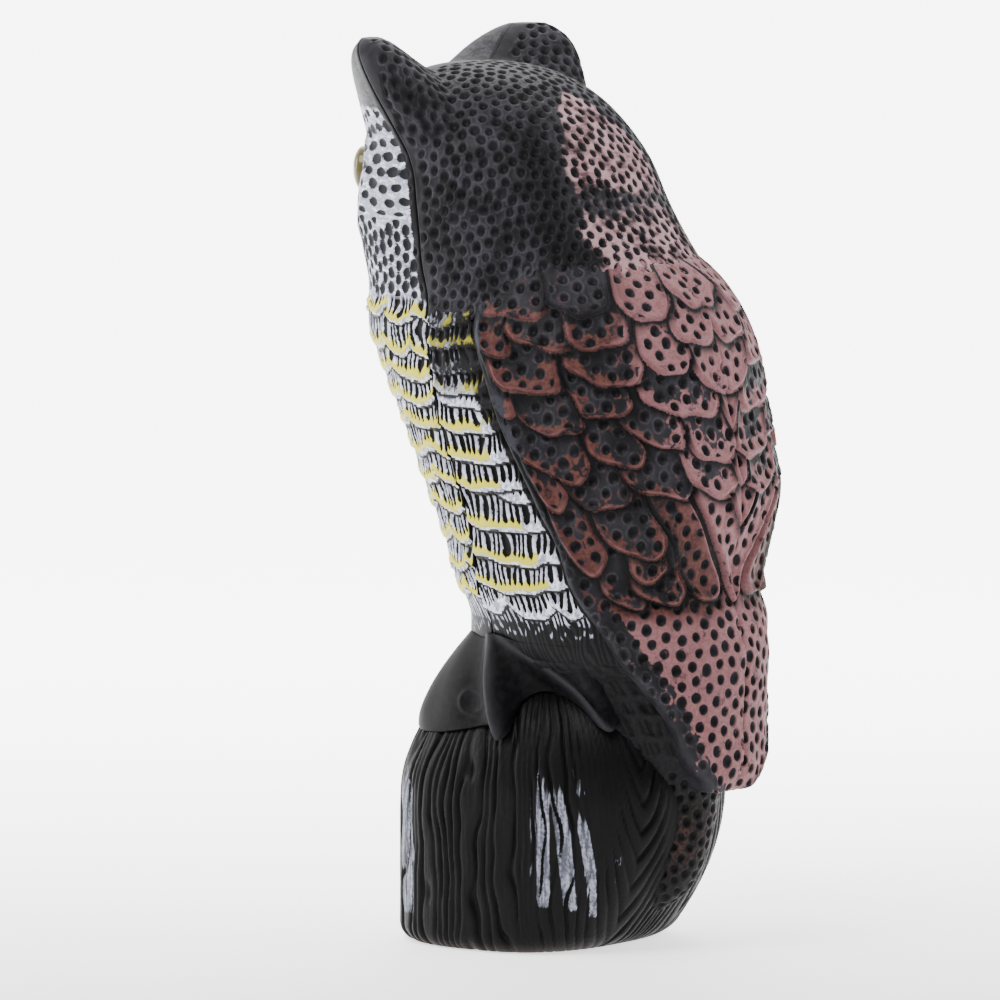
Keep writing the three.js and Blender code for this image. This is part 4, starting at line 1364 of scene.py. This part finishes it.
class OWL_OT_flanks(bpy.types.Operator):
    """The sides of the breast, from the parting line to under each wing's edge."""

    bl_idname = "owl.flanks"
    bl_label = "Flanks"

    def execute(self, context):
        sizes = context.scene.owl_sizes
        places = even_places(0.0, FLANK_TOP, sizes.mesh_step)
        turn, place = column_grid(parting, lambda p: wing_edge(p) + math.radians(9), FLANK_COLUMNS, places)
        top = smoothstep(place, *FLANK_END)
        groove, line = parting_groove(turn, place)
        for side, name in SIDES:
            relief, marks = breast_skin(
                turn * FLAT, place, FLANK_FEATHERS, sizes.flank_slit, 1 - top, sizes, 23 + side
            )
            points, _ = body_points(side * turn, place, relief + groove - FLANK_TUCK * top)
            marks.update(even_marks(turn, 0.0, "white", "grey", "rust", "dusk"))
            marks.update(even_marks(turn, NO_PIT, "pit"), line=line)
            piece = sheet_piece(f"flank_{name}", points, marks, body_heart(0.3), flip=side < 0)
            settle(piece, paint("head_and_breast"))
        return {"FINISHED"}


class OWL_OT_tail(bpy.types.Operator):
    """Belly behind the feet and the tail strip that runs down the stump's back."""

    bl_idname = "owl.tail"
    bl_label = "Belly and tail"

    def execute(self, context):
        places = even_places(TAIL_END + 0.0005, TAIL_TOP, 1.3 * context.scene.owl_sizes.mesh_step)
        turn = np.linspace(-math.pi, math.pi, TAIL_COLUMNS, endpoint=False)
        angle, place = np.broadcast_arrays(turn[None, :], places[:, None])
        height = up(place)
        across = angle * 0.17 * OWL_HEIGHT
        chance = np.random.default_rng(41)
        feathers = []
        for bottom in range(70, 160, 9):
            feathers += feather_row(bottom, 15, 2.5, -TAIL_REACH, TAIL_REACH, chance)
        relief, above, _, _, _ = lay_feathers(feathers, across, height, 0.9 * MM, 9 * MM, 0.9 * MM)
        belly = smoothstep(place, *BELLY_START)
        barred = smoothstep(place, *BAR_END) * (1 - belly)
        slits = slit_turn(across, height, BAR_PITCH, 43)
        apart = np.abs(slits - np.round(slits))
        inner = grows(above, 1.5, 3)
        bars = BAR_DEPTH * (1 - smoothstep(apart, 0.1, 0.3)) * inner
        points, _ = body_points(angle, place, (relief - bars) * barred - BELLY_TUCK * belly)
        marks = {
            "slits": slits,
            "barred": barred * inner,
            "rust": hump(height, 52, 14) * ridge(np.degrees(np.abs(angle)) - 150, 24),
        }
        low = np.array([0.0, BODY_STATIONS[0][3] * OWL_HEIGHT, up(TAIL_END)])
        piece = ring_piece("owl_tail", points, marks, low, body_heart(TAIL_TOP))
        lower = 1 - smoothstep(place, *LOWER_TAIL)
        press_dimples(piece, lower, paint("belly_and_tail"), 5)
        return settle(piece)


WING_SPAN = 122 * MM  # over the surface, from the leading edge back
WING_FOOT = 146, 160  # heights in mm between which the lapped feathers give way to folds
FOLD_DEPTH, FOLD_WIDTH = 0.35 * MM, 2.1 * MM


def wing_grid(step):
    """Levels and shares across of a wing's outer sheet, with a skirt of a few steps on each side."""
    rows = int((WING_TOP - WING_TIP) * OWL_HEIGHT / step)
    columns = int(WING_SPAN / step)
    steps = len(SKIRT)
    level = np.linspace(WING_TIP, WING_TOP, rows)
    level = np.concatenate([np.full(steps, WING_TIP), level, np.full(steps, WING_TOP)])
    across = np.concatenate([np.zeros(steps), np.linspace(0, 1, columns), np.ones(steps)])
    deep_rows = np.concatenate([SKIRT, np.zeros(rows), SKIRT[::-1]])
    deep_columns = np.concatenate([SKIRT, np.zeros(columns), SKIRT[::-1]])
    depth = np.maximum(deep_rows[:, None], deep_columns[None, :]) * WING_DEPTH
    level, across = np.meshgrid(level, across, indexing="ij")
    return level, across, depth


def wing_slate(from_edge, height, below):
    """Where the wing's ground is brushed slate: its upper leading edge, its back and the gaps there."""
    lead = 1.5 * hump(from_edge, 2, 7) * grows(height, 200, 245)
    back = grows(from_edge, 55, 100) * (0.35 + 0.6 * hump(below, 2, 3))
    return grows(height, 150, 200) * np.clip(0.1 + lead + back, 0, 1.5)


def wing_clay(from_edge, height, laid):
    """How far inside the terracotta brushing a point of the wing lies."""
    _, above, _, reach, rise = laid
    low_reach = 9 * MM * grows(from_edge, 6 + 8 * grows(height, 100, 125), 17) - 3 * MM
    top_reach = -9 * MM + 14 * MM * grows(from_edge, 62, 72)
    climb = 0.3 * np.maximum(rise - 9 * MM, 0) * (1 - grows(from_edge, 50, 80))
    painted = (reach - 1.5) * MM - above - climb
    clay = np.where(above >= FAR, np.where(height > 230 * MM, top_reach, low_reach), painted)
    return clay - 14 * MM * (1 - grows(from_edge, 4, 7.5)) * grows(height, 105, 120)


def wing_skin(side, sizes):
    """Points of a wing, its marks and where its dimples lie."""
    level, across, depth = wing_grid(sizes.wing_mesh_step)
    shoulder = -0.05 + 0.07 * smoothstep(across, 0, 0.35)
    place = level + shoulder * smoothstep(level, 0.48, WING_TOP)
    edge = wing_edge(place)
    half_width, half_depth, middle = (part * OWL_HEIGHT for part in wing_curve(place))
    end = math.pi + WING_LAP / half_depth
    angle = edge + (end - edge) * across
    radius = section_radius(angle, half_width, half_depth, half_depth, BODY_POWER)
    from_edge = (angle - edge) * radius
    from_top = (WING_TOP - level) * OWL_HEIGHT
    from_tip = (place - WING_TIP) * OWL_HEIGHT
    height = up(place)
    sway_x = 1.3 * MM * wobble(from_edge / 0.028, height / 0.028, 5)
    sway_z = 1.5 * MM * wobble(from_edge / 0.02, height / 0.024, 6)
    laid = lay_feathers(
        WING_FEATHERS, from_edge + sway_x, height + sway_z, sizes.wing_lift, sizes.wing_fall, sizes.wing_rim
    )
    relief, above, below, _, _ = laid
    carved = grows(from_edge, 2.5, 7) * smoothstep(from_top, 0, WING_TOP_ROUND)
    lower = 1 - grows(height, *WING_FOOT)
    slope = (height * 0.8 - from_edge * 0.6) / FOLD_WIDTH
    folds = FOLD_DEPTH * np.sin(slope + 1.5 * wobble(from_edge / 0.05, height / 0.05, 9))
    radius = radius + (relief - 0.62 * sizes.wing_lift * (1 - lower)) * carved + folds * lower * carved
    radius = radius + WING_STEP * 0.35 * ridge(from_edge - WING_EDGE_ROUND, WING_EDGE_ROUND * 0.8)
    radius = radius - round_off(from_edge, WING_EDGE_ROUND, WING_STEP + WING_TUCK)
    radius = radius - round_off((end - angle) * radius, WING_BACK_ROUND, WING_STEP * 0.7)
    radius = radius - round_off(from_top, 2.2 * WING_TOP_ROUND, WING_STEP + WING_TUCK)
    radius = radius - round_off(from_tip, WING_TIP_ROUND, WING_STEP + WING_TUCK)
    points = polar_points(side * angle, radius - depth, middle, height)
    marks = {
        "above": above,
        "below": below,
        "clay": wing_clay(from_edge, height, laid),
        # Partly paler paint, partly painted light: lighter towards the wing's back and lower part
        "pale": np.clip(grows(from_edge, 55, 95) + 0.7 * lower, 0, 1),
        "slate": wing_slate(from_edge, height, below),
    }
    where = grows(above, 1.5, 2.8) * grows(below, 0.3, 1.8) * grows(from_edge, 1.5, 4)
    return points, marks, where


class OWL_OT_wings(bpy.types.Operator):
    """The two folded wings with their lapped feathers."""

    bl_idname = "owl.wings"
    bl_label = "Wings"

    def execute(self, context):
        for side, name in SIDES:
            points, marks, where = wing_skin(side, context.scene.owl_sizes)
            piece = sheet_piece(f"wing_{name}", points, marks, body_heart(0.3), flip=side < 0)
            press_dimples(piece, where, paint("wings"), 15 + side, **WING_DIMPLES)
            settle(piece)
        return {"FINISHED"}


# Stump and feet

STUMP_COLUMNS = 520
STUMP_ROWS = 14, 56, 54  # of its rounded foot, its wall and its shoulder
FOOT_GRID = 200, 60
BARK_ROUND = 66  # radius in mm by which angles on the bark are laid out flat
CHEVRON_SLOPES = 1.25, 2.0  # towards the back and towards the front
CHEVRON_PITCH = 14 * MM
CHEVRON_REACH = 20 * MM
SMOOTH_TOP = 112, 119  # heights in mm between which the bark's grooves end
FEET_HEART = np.array([0.0, 15 * MM, 104 * MM])  # the point inside that both feet close to


def stump_radius(angle, height):
    heel = STUMP_HEEL * np.clip(1 - height / STUMP_HEEL_RISE, 0, 1) ** 2
    return section_radius(angle, STUMP_WIDTH / 2, STUMP_FRONT, STUMP_BACK - heel, STUMP_POWER)


def front_round(angle, height):
    """How much further in the stump's shoulder lies beside the front toes."""
    turn = np.degrees(np.abs(angle))
    return 3.5 * MM * hump(height, 101, 22) * (1 - smoothstep(turn, 68, 100))


def shoulder_inset(height):
    rise = np.clip(1 - (STUMP_HEIGHT - height) / STUMP_SHOULDER_DOWN, 0, 1)
    return STUMP_SHOULDER_IN * (1 - np.sqrt(1 - rise * rise))


def on_stump(angle, height, out):
    """A place on the stump's side or rounded shoulder, standing out by a distance."""
    radius = stump_radius(angle, height) - shoulder_inset(height) - front_round(angle, height) + out
    return polar_points(angle, radius, 0.0, height)


def bark(angle, height, pitch):
    """Uneven wavy grain that closes to nested chevrons on each side of the back: how raised the bark is."""
    around = np.abs(angle) * BARK_ROUND * MM
    side = around - CHEVRON_AXIS * BARK_ROUND * MM
    wave = 3.2 * MM * wobble(around / 0.04, height / 0.08, 61)
    wave = wave + 1.1 * MM * wobble(around / 0.016, height / 0.03, 62)
    uneven = 2.6 * MM * wobble(around / 0.017, height / 0.35, 63)
    slope = np.where(side > 0, *CHEVRON_SLOPES)
    near = ridge(side, CHEVRON_REACH)
    nested = (slope * np.abs(side) - height + 0.5 * wave) / CHEVRON_PITCH
    turn = (1 - near) * (np.abs(side) + wave + uneven) / pitch + near * nested
    apart = np.abs(turn - np.round(turn)) * 2
    deep = 0.4 + 0.6 * smoothstep(wobble(around / 0.012, height / 0.05, 64), -0.7, 0.3)
    deep = deep * (1 - smoothstep(np.abs(np.gradient(turn, axis=1)), 0.19, 0.3))
    return 1 - deep * (1 - smoothstep(apart, 0.02, 0.42)) - 0.25 * (1 - apart)


def streak_zone(angle, height):
    """Where the bark is dry-brushed."""
    zone = np.zeros_like(angle)
    for high_angle, low_angle, half, high, low, strength in STREAKS:
        down = np.clip((high * MM - height) / ((high - low) * MM), 0, 1)
        away = np.abs(np.degrees(angle) - high_angle - (low_angle - high_angle) * down)
        ends = grows(height, low, low + 6) * smoothstep(down, 0, 0.35)
        zone = np.maximum(zone, strength * ends * (1 - smoothstep(away, half * 0.7, half * 1.3)))
    return zone


class OWL_OT_stump(bpy.types.Operator):
    """The fluted tree stump."""

    bl_idname = "owl.stump"
    bl_label = "Stump"

    def execute(self, context):
        sizes = context.scene.owl_sizes
        foot_rows, wall_rows, shoulder_rows = STUMP_ROWS
        quarter = np.linspace(0, math.pi / 2, foot_rows)
        foot_height = STUMP_FOOT_ROUND * (1 - np.cos(quarter))
        foot_inset = STUMP_FOOT_ROUND * (1 - np.sin(quarter))
        wall = np.linspace(STUMP_FOOT_ROUND, STUMP_HEIGHT - STUMP_SHOULDER_DOWN, wall_rows)[1:]
        rise = np.linspace(0, 0.93 * math.pi / 2, shoulder_rows)[1:]
        top_height = STUMP_HEIGHT - STUMP_SHOULDER_DOWN * (1 - np.sin(rise))
        heights = np.concatenate([foot_height, wall, top_height])
        insets = np.concatenate([foot_inset, np.zeros(len(wall)), shoulder_inset(top_height)])
        turn = np.linspace(-math.pi, math.pi, STUMP_COLUMNS, endpoint=False)
        angle, height = (np.array(part) for part in np.broadcast_arrays(turn[None, :], heights[:, None]))
        raised = bark(angle, height, sizes.groove_pitch)
        calm = 1 - grows(height, *SMOOTH_TOP)
        radius = stump_radius(angle, height) - insets[:, None] - front_round(angle, height)
        radius = radius - sizes.groove_depth * (1 - raised) * calm
        marks = {
            "groove": raised,
            "streak": streak_zone(angle, height),
            "sole": 1 - grows(height, 1.0, 5),
        }
        top = np.array([0.0, 0.0, STUMP_HEIGHT - 0.3 * MM])
        piece = ring_piece("stump", polar_points(angle, radius, 0.0, height), marks, np.zeros(3), top)
        return settle(piece, paint("bark"))


foot_curve = curve_through(FOOT_STATIONS)


def foot_points():
    """One foot's skin and its painted sheen: rows go up from its hem, columns run round from the front."""
    first, last = FOOT_STATIONS[0][0], FOOT_STATIONS[-1][0]
    columns, rows = FOOT_GRID
    station, part = np.meshgrid(np.linspace(first, last, columns), np.linspace(0, 1, rows))
    drop, breast = foot_curve(station)
    sides = smoothstep(station, first, first + 10) * (1 - smoothstep(station, last - 9, last))
    hem = (3 * sides - 2) * (0.2 + 0.8 * smoothstep(station, 84, 98)) * FOOT_STEP
    low = on_stump(np.radians(station), up(-drop), hem)
    high, _ = body_points(np.radians(breast), np.full_like(station, FOOT_TOP))
    bend = low.copy()
    bend[..., 2] += 0.3 * (high[..., 2] - low[..., 2])
    s = part[..., None]
    points = (1 - s) ** 2 * low + 2 * s * (1 - s) * bend + s**2 * high
    rise = 0
    worn = 0
    for low_end, high_end, width, height in TOES:
        along = smoothstep(part, -0.25, 0.3) * (1 - 0.6 * smoothstep(part, 0.5, 1))
        across = station - low_end - (high_end - low_end) * part
        rise = rise + height * OWL_HEIGHT * ridge(across, width) * along
        # A painted sheen along the ridges of the narrow toes
        worn = np.maximum(worn, ridge(across, 0.36 * width) * (width < 10))
    ring = np.hypot((station - 88) * 1.05 / 7.3, (points[..., 2] - 110 * MM) / (4.6 * MM))
    rise = rise + 0.9 * MM * ridge(ring - 1, 0.28)
    out = rise * sides - FOOT_STEP * part**6 - round_off(part, 0.04, 0.8 * hem)
    facing = np.radians(station + (breast - station) * part)
    tilt = part * FOOT_TILT
    return points + polar_points(facing, out * np.cos(tilt), 0.0, out * np.sin(tilt)), worn


class OWL_OT_feet(bpy.types.Operator):
    """Two smooth clawed feet draped over the stump's shoulder."""

    bl_idname = "owl.feet"
    bl_label = "Feet"

    def execute(self, context):
        points, worn = foot_points()
        for side, name in SIDES:
            mirrored = points * np.array([side, 1, 1])
            piece = sheet_piece(f"foot_{name}", mirrored, {"worn": worn}, FEET_HEART, flip=side < 0)
            settle(piece, paint("feet"))
        return {"FINISHED"}


# Beak and eyes

BEAK_GRID = 40, 36
EYE_GRID = 26, 64


class OWL_OT_beak(bpy.types.Operator):
    """The short hooked beak between the eyes."""

    bl_idname = "owl.beak"
    bl_label = "Beak"

    def execute(self, context):
        _, half_depth, middle = body_curve(np.array([BEAK_LEVEL]))
        front = middle[0] - half_depth[0]
        stations = [
            [0, 0, front + 0.022, 0.8, 0.016],
            [1, 0, front + 0.002, 0.775, 0.024],
            [2, 0, front - 0.016, 0.735, 0.018],
            [3, 0, front - 0.016, 0.7, 0.004],
        ]
        rows, columns = BEAK_GRID
        x, y, place, radius = curve_through(stations)(np.linspace(0, 3, rows))
        centre = np.stack([x * OWL_HEIGHT, y * OWL_HEIGHT, up(place)], axis=-1)
        ahead = np.gradient(centre, axis=0)
        ahead /= np.linalg.norm(ahead, axis=1)[:, None]
        aside = np.array([1.0, 0.0, 0.0])
        over = np.cross(aside, ahead)
        turn = np.linspace(0, 2 * math.pi, columns, endpoint=False)
        ring = np.cos(turn)[None, :, None] * aside + np.sin(turn)[None, :, None] * over[:, None, :]
        points = centre[:, None, :] + ring * radius[:, None, None] * OWL_HEIGHT
        start = centre[0] - ahead[0] * radius[0] * OWL_HEIGHT * 0.7
        end = centre[-1] + ahead[-1] * radius[-1] * OWL_HEIGHT * 0.7
        piece = ring_piece("beak", points, {}, start, end)
        turn_outwards(piece)
        return settle(piece, paint("beak"))


class OWL_OT_eyes(bpy.types.Operator):
    """The two domed eyes."""

    bl_idname = "owl.eyes"
    bl_label = "Eyes"

    def execute(self, context):
        rows, columns = EYE_GRID
        lean = np.linspace(0, 0.97 * math.pi / 2, rows)
        out = np.concatenate([[-EYE_SEAT, -EYE_SEAT / 2], EYE_DOME * np.sin(lean)])
        away = np.concatenate([[EYE_RADIUS, EYE_RADIUS], EYE_RADIUS * np.cos(lean)])
        turn = np.linspace(0, 2 * math.pi, columns, endpoint=False)
        for side, name in SIDES:
            face, _ = body_points(np.array([side * EYE_ANGLE]), np.array([EYE_PLACE]))
            gaze = np.array([side * math.sin(EYE_TURN), -math.cos(EYE_TURN), 0.0])
            rim = face[0] - gaze * EYE_SINK
            aside = np.array([-gaze[1], gaze[0], 0.0])
            circle = np.cos(turn)[:, None] * aside + np.sin(turn)[:, None] * np.array([0, 0, 1.0])
            points = rim + out[:, None, None] * gaze + away[:, None, None] * circle[None]
            marks = {"from_centre": np.repeat(away[:, None], columns, axis=1)}
            ends = rim - EYE_SEAT * gaze, rim + EYE_DOME * gaze
            piece = ring_piece(f"eye_{name}_dome", points, marks, *ends)
            turn_outwards(piece)
            settle(piece, paint("eye"), f"eye_{name}")
        return {"FINISHED"}


# Stage

FLOOR_REACH = 16.0
LIT_HEIGHT = 220 * MM
SENSOR_WIDTH = 36.0  # millimetres, as a camera's sensor is measured
BLACK = (0.0, 0.0, 0.0, 1.0)
WHITE = (1.0, 1.0, 1.0, 1.0)


def direction(azimuth, rise):
    """The way out from the owl, by its turn from the front and its angle above level."""
    return Vector((math.sin(azimuth) * math.cos(rise), -math.cos(azimuth) * math.cos(rise), math.sin(rise)))


def aimed(name, data, middle, out, distance):
    """A new light or camera that looks back at a point from the way out."""
    made = added(name, data)
    made.location = middle + out * distance
    made.rotation_mode = "QUATERNION"
    made.rotation_quaternion = out.to_track_quat("Z", "Y")
    return made


class OWL_OT_stage(bpy.types.Operator):
    """Pale floor, soft light and the camera."""

    bl_idname = "owl.stage"
    bl_label = "Stage"

    def execute(self, context):
        stage = context.scene.owl_stage
        ahead = -direction(stage.azimuth, 0.0)
        self.floor(stage, ahead)
        self.room(stage, ahead)
        self.lights(stage)
        self.camera(stage)
        return {"FINISHED"}

    def floor(self, stage, ahead):
        """A floor that glows behind the owl as the backdrop does."""
        mesh = bpy.data.meshes.new("floor")
        reach = FLOOR_REACH
        corners = [(-reach, -reach, 0), (reach, -reach, 0), (reach, reach, 0), (-reach, reach, 0)]
        mesh.from_pydata(corners, [], [(0, 1, 2, 3)])
        floor = added("floor", mesh)
        material = bpy.data.materials.new("floor")
        material.use_nodes = True
        sockets = material.node_tree.nodes["Principled BSDF"].inputs
        sockets["Base Color"].default_value = stage.floor
        sockets["Roughness"].default_value = 0.6
        sketch = Sketch(material.node_tree)
        behind = sketch.vector("DOT_PRODUCT", sketch.place(), ahead, output="Value")
        sketch.feed(sockets["Emission Color"], behind.fade(-0.6, 1.2).blend(BLACK, WHITE))
        sockets["Emission Strength"].default_value = stage.floor_glow
        mesh.materials.append(material)

    def room(self, stage, ahead):
        """Even light all round, brighter from behind the owl than from the camera's side."""
        world = bpy.data.worlds.new("studio")
        world.use_nodes = True
        sockets = world.node_tree.nodes["Background"].inputs
        sketch = Sketch(world.node_tree)
        view = sketch.node("ShaderNodeTexCoord", output="Generated")
        behind = sketch.vector("DOT_PRODUCT", view, ahead, output="Value")
        dim = (*[stage.room_light / stage.backdrop_light] * 3, 1.0)
        sketch.feed(sockets["Color"], behind.fade(-0.3, 0.75).blend(dim, WHITE))
        sockets["Strength"].default_value = stage.backdrop_light
        bpy.context.scene.world = world

    def lights(self, stage):
        turn, side = stage.azimuth, stage.side_power
        # Name, turn, angle above level, distance, power and width
        spots = [
            ("key_light", turn - math.radians(35), 0.95, 1.6, stage.key_power, 1.0),
            ("right_light", turn + math.radians(75), 0.4, 1.4, side, 0.8),
            ("left_light", turn - math.radians(100), 0.3, 1.4, 1.6 * side, 0.8),
            ("back_light", turn + math.radians(180), 0.8, 1.6, side, 1.0),
        ]
        for name, azimuth, rise, distance, energy, size in spots:
            lamp = bpy.data.lights.new(name, "AREA")
            lamp.shape = "DISK"
            lamp.size = size
            lamp.energy = energy
            aimed(name, lamp, Vector((0, 0, LIT_HEIGHT)), direction(azimuth, rise), distance)

    def camera(self, stage):
        turn = stage.azimuth
        right = Vector((math.cos(turn), math.sin(turn), 0))
        aim = Vector((0, 0, stage.view_height)) - right * stage.view_aside
        data = bpy.data.cameras.new("camera")
        data.sensor_width = SENSOR_WIDTH
        data.lens = SENSOR_WIDTH * stage.distance / stage.view_width
        data.clip_end = 100
        out = direction(turn, stage.elevation)
        bpy.context.scene.camera = aimed("camera", data, aim, out, stage.distance)


class OWL_PT_panel(bpy.types.Panel):
    """Lists the steps that build the owl."""

    bl_idname = "OWL_PT_panel"
    bl_label = "Owl decoy"
    bl_space_type = "VIEW_3D"
    bl_region_type = "UI"
    bl_category = "Owl"

    def draw(self, context):
        for step in STEPS:
            self.layout.operator(step.bl_idname)
        for group in (context.scene.owl_sizes, context.scene.owl_paint, context.scene.owl_stage):
            box = self.layout.box()
            for name in group.__annotations__:
                box.prop(group, name)


STEPS = (
    OWL_OT_stage,
    OWL_OT_front,
    OWL_OT_nape,
    OWL_OT_flanks,
    OWL_OT_tail,
    OWL_OT_wings,
    OWL_OT_stump,
    OWL_OT_feet,
    OWL_OT_beak,
    OWL_OT_eyes,
)
GROUPS = {"owl_sizes": OwlSizes, "owl_paint": OwlPaint, "owl_stage": OwlStage}


def register():
    for made in (*GROUPS.values(), *STEPS, OWL_PT_panel):
        bpy.utils.register_class(made)
    for name, group in GROUPS.items():
        setattr(bpy.types.Scene, name, bpy.props.PointerProperty(type=group))


def unregister():
    for name in GROUPS:
        delattr(bpy.types.Scene, name)
    for made in (OWL_PT_panel, *reversed(STEPS), *reversed(GROUPS.values())):
        bpy.utils.unregister_class(made)


def main():
    register()
    bpy.ops.owl.stage()
    bpy.ops.owl.front()
    bpy.ops.owl.nape()
    bpy.ops.owl.flanks()
    bpy.ops.owl.tail()
    bpy.ops.owl.wings()
    bpy.ops.owl.stump()
    bpy.ops.owl.feet()
    bpy.ops.owl.beak()
    bpy.ops.owl.eyes()


if __name__ == "__main__":
    main()
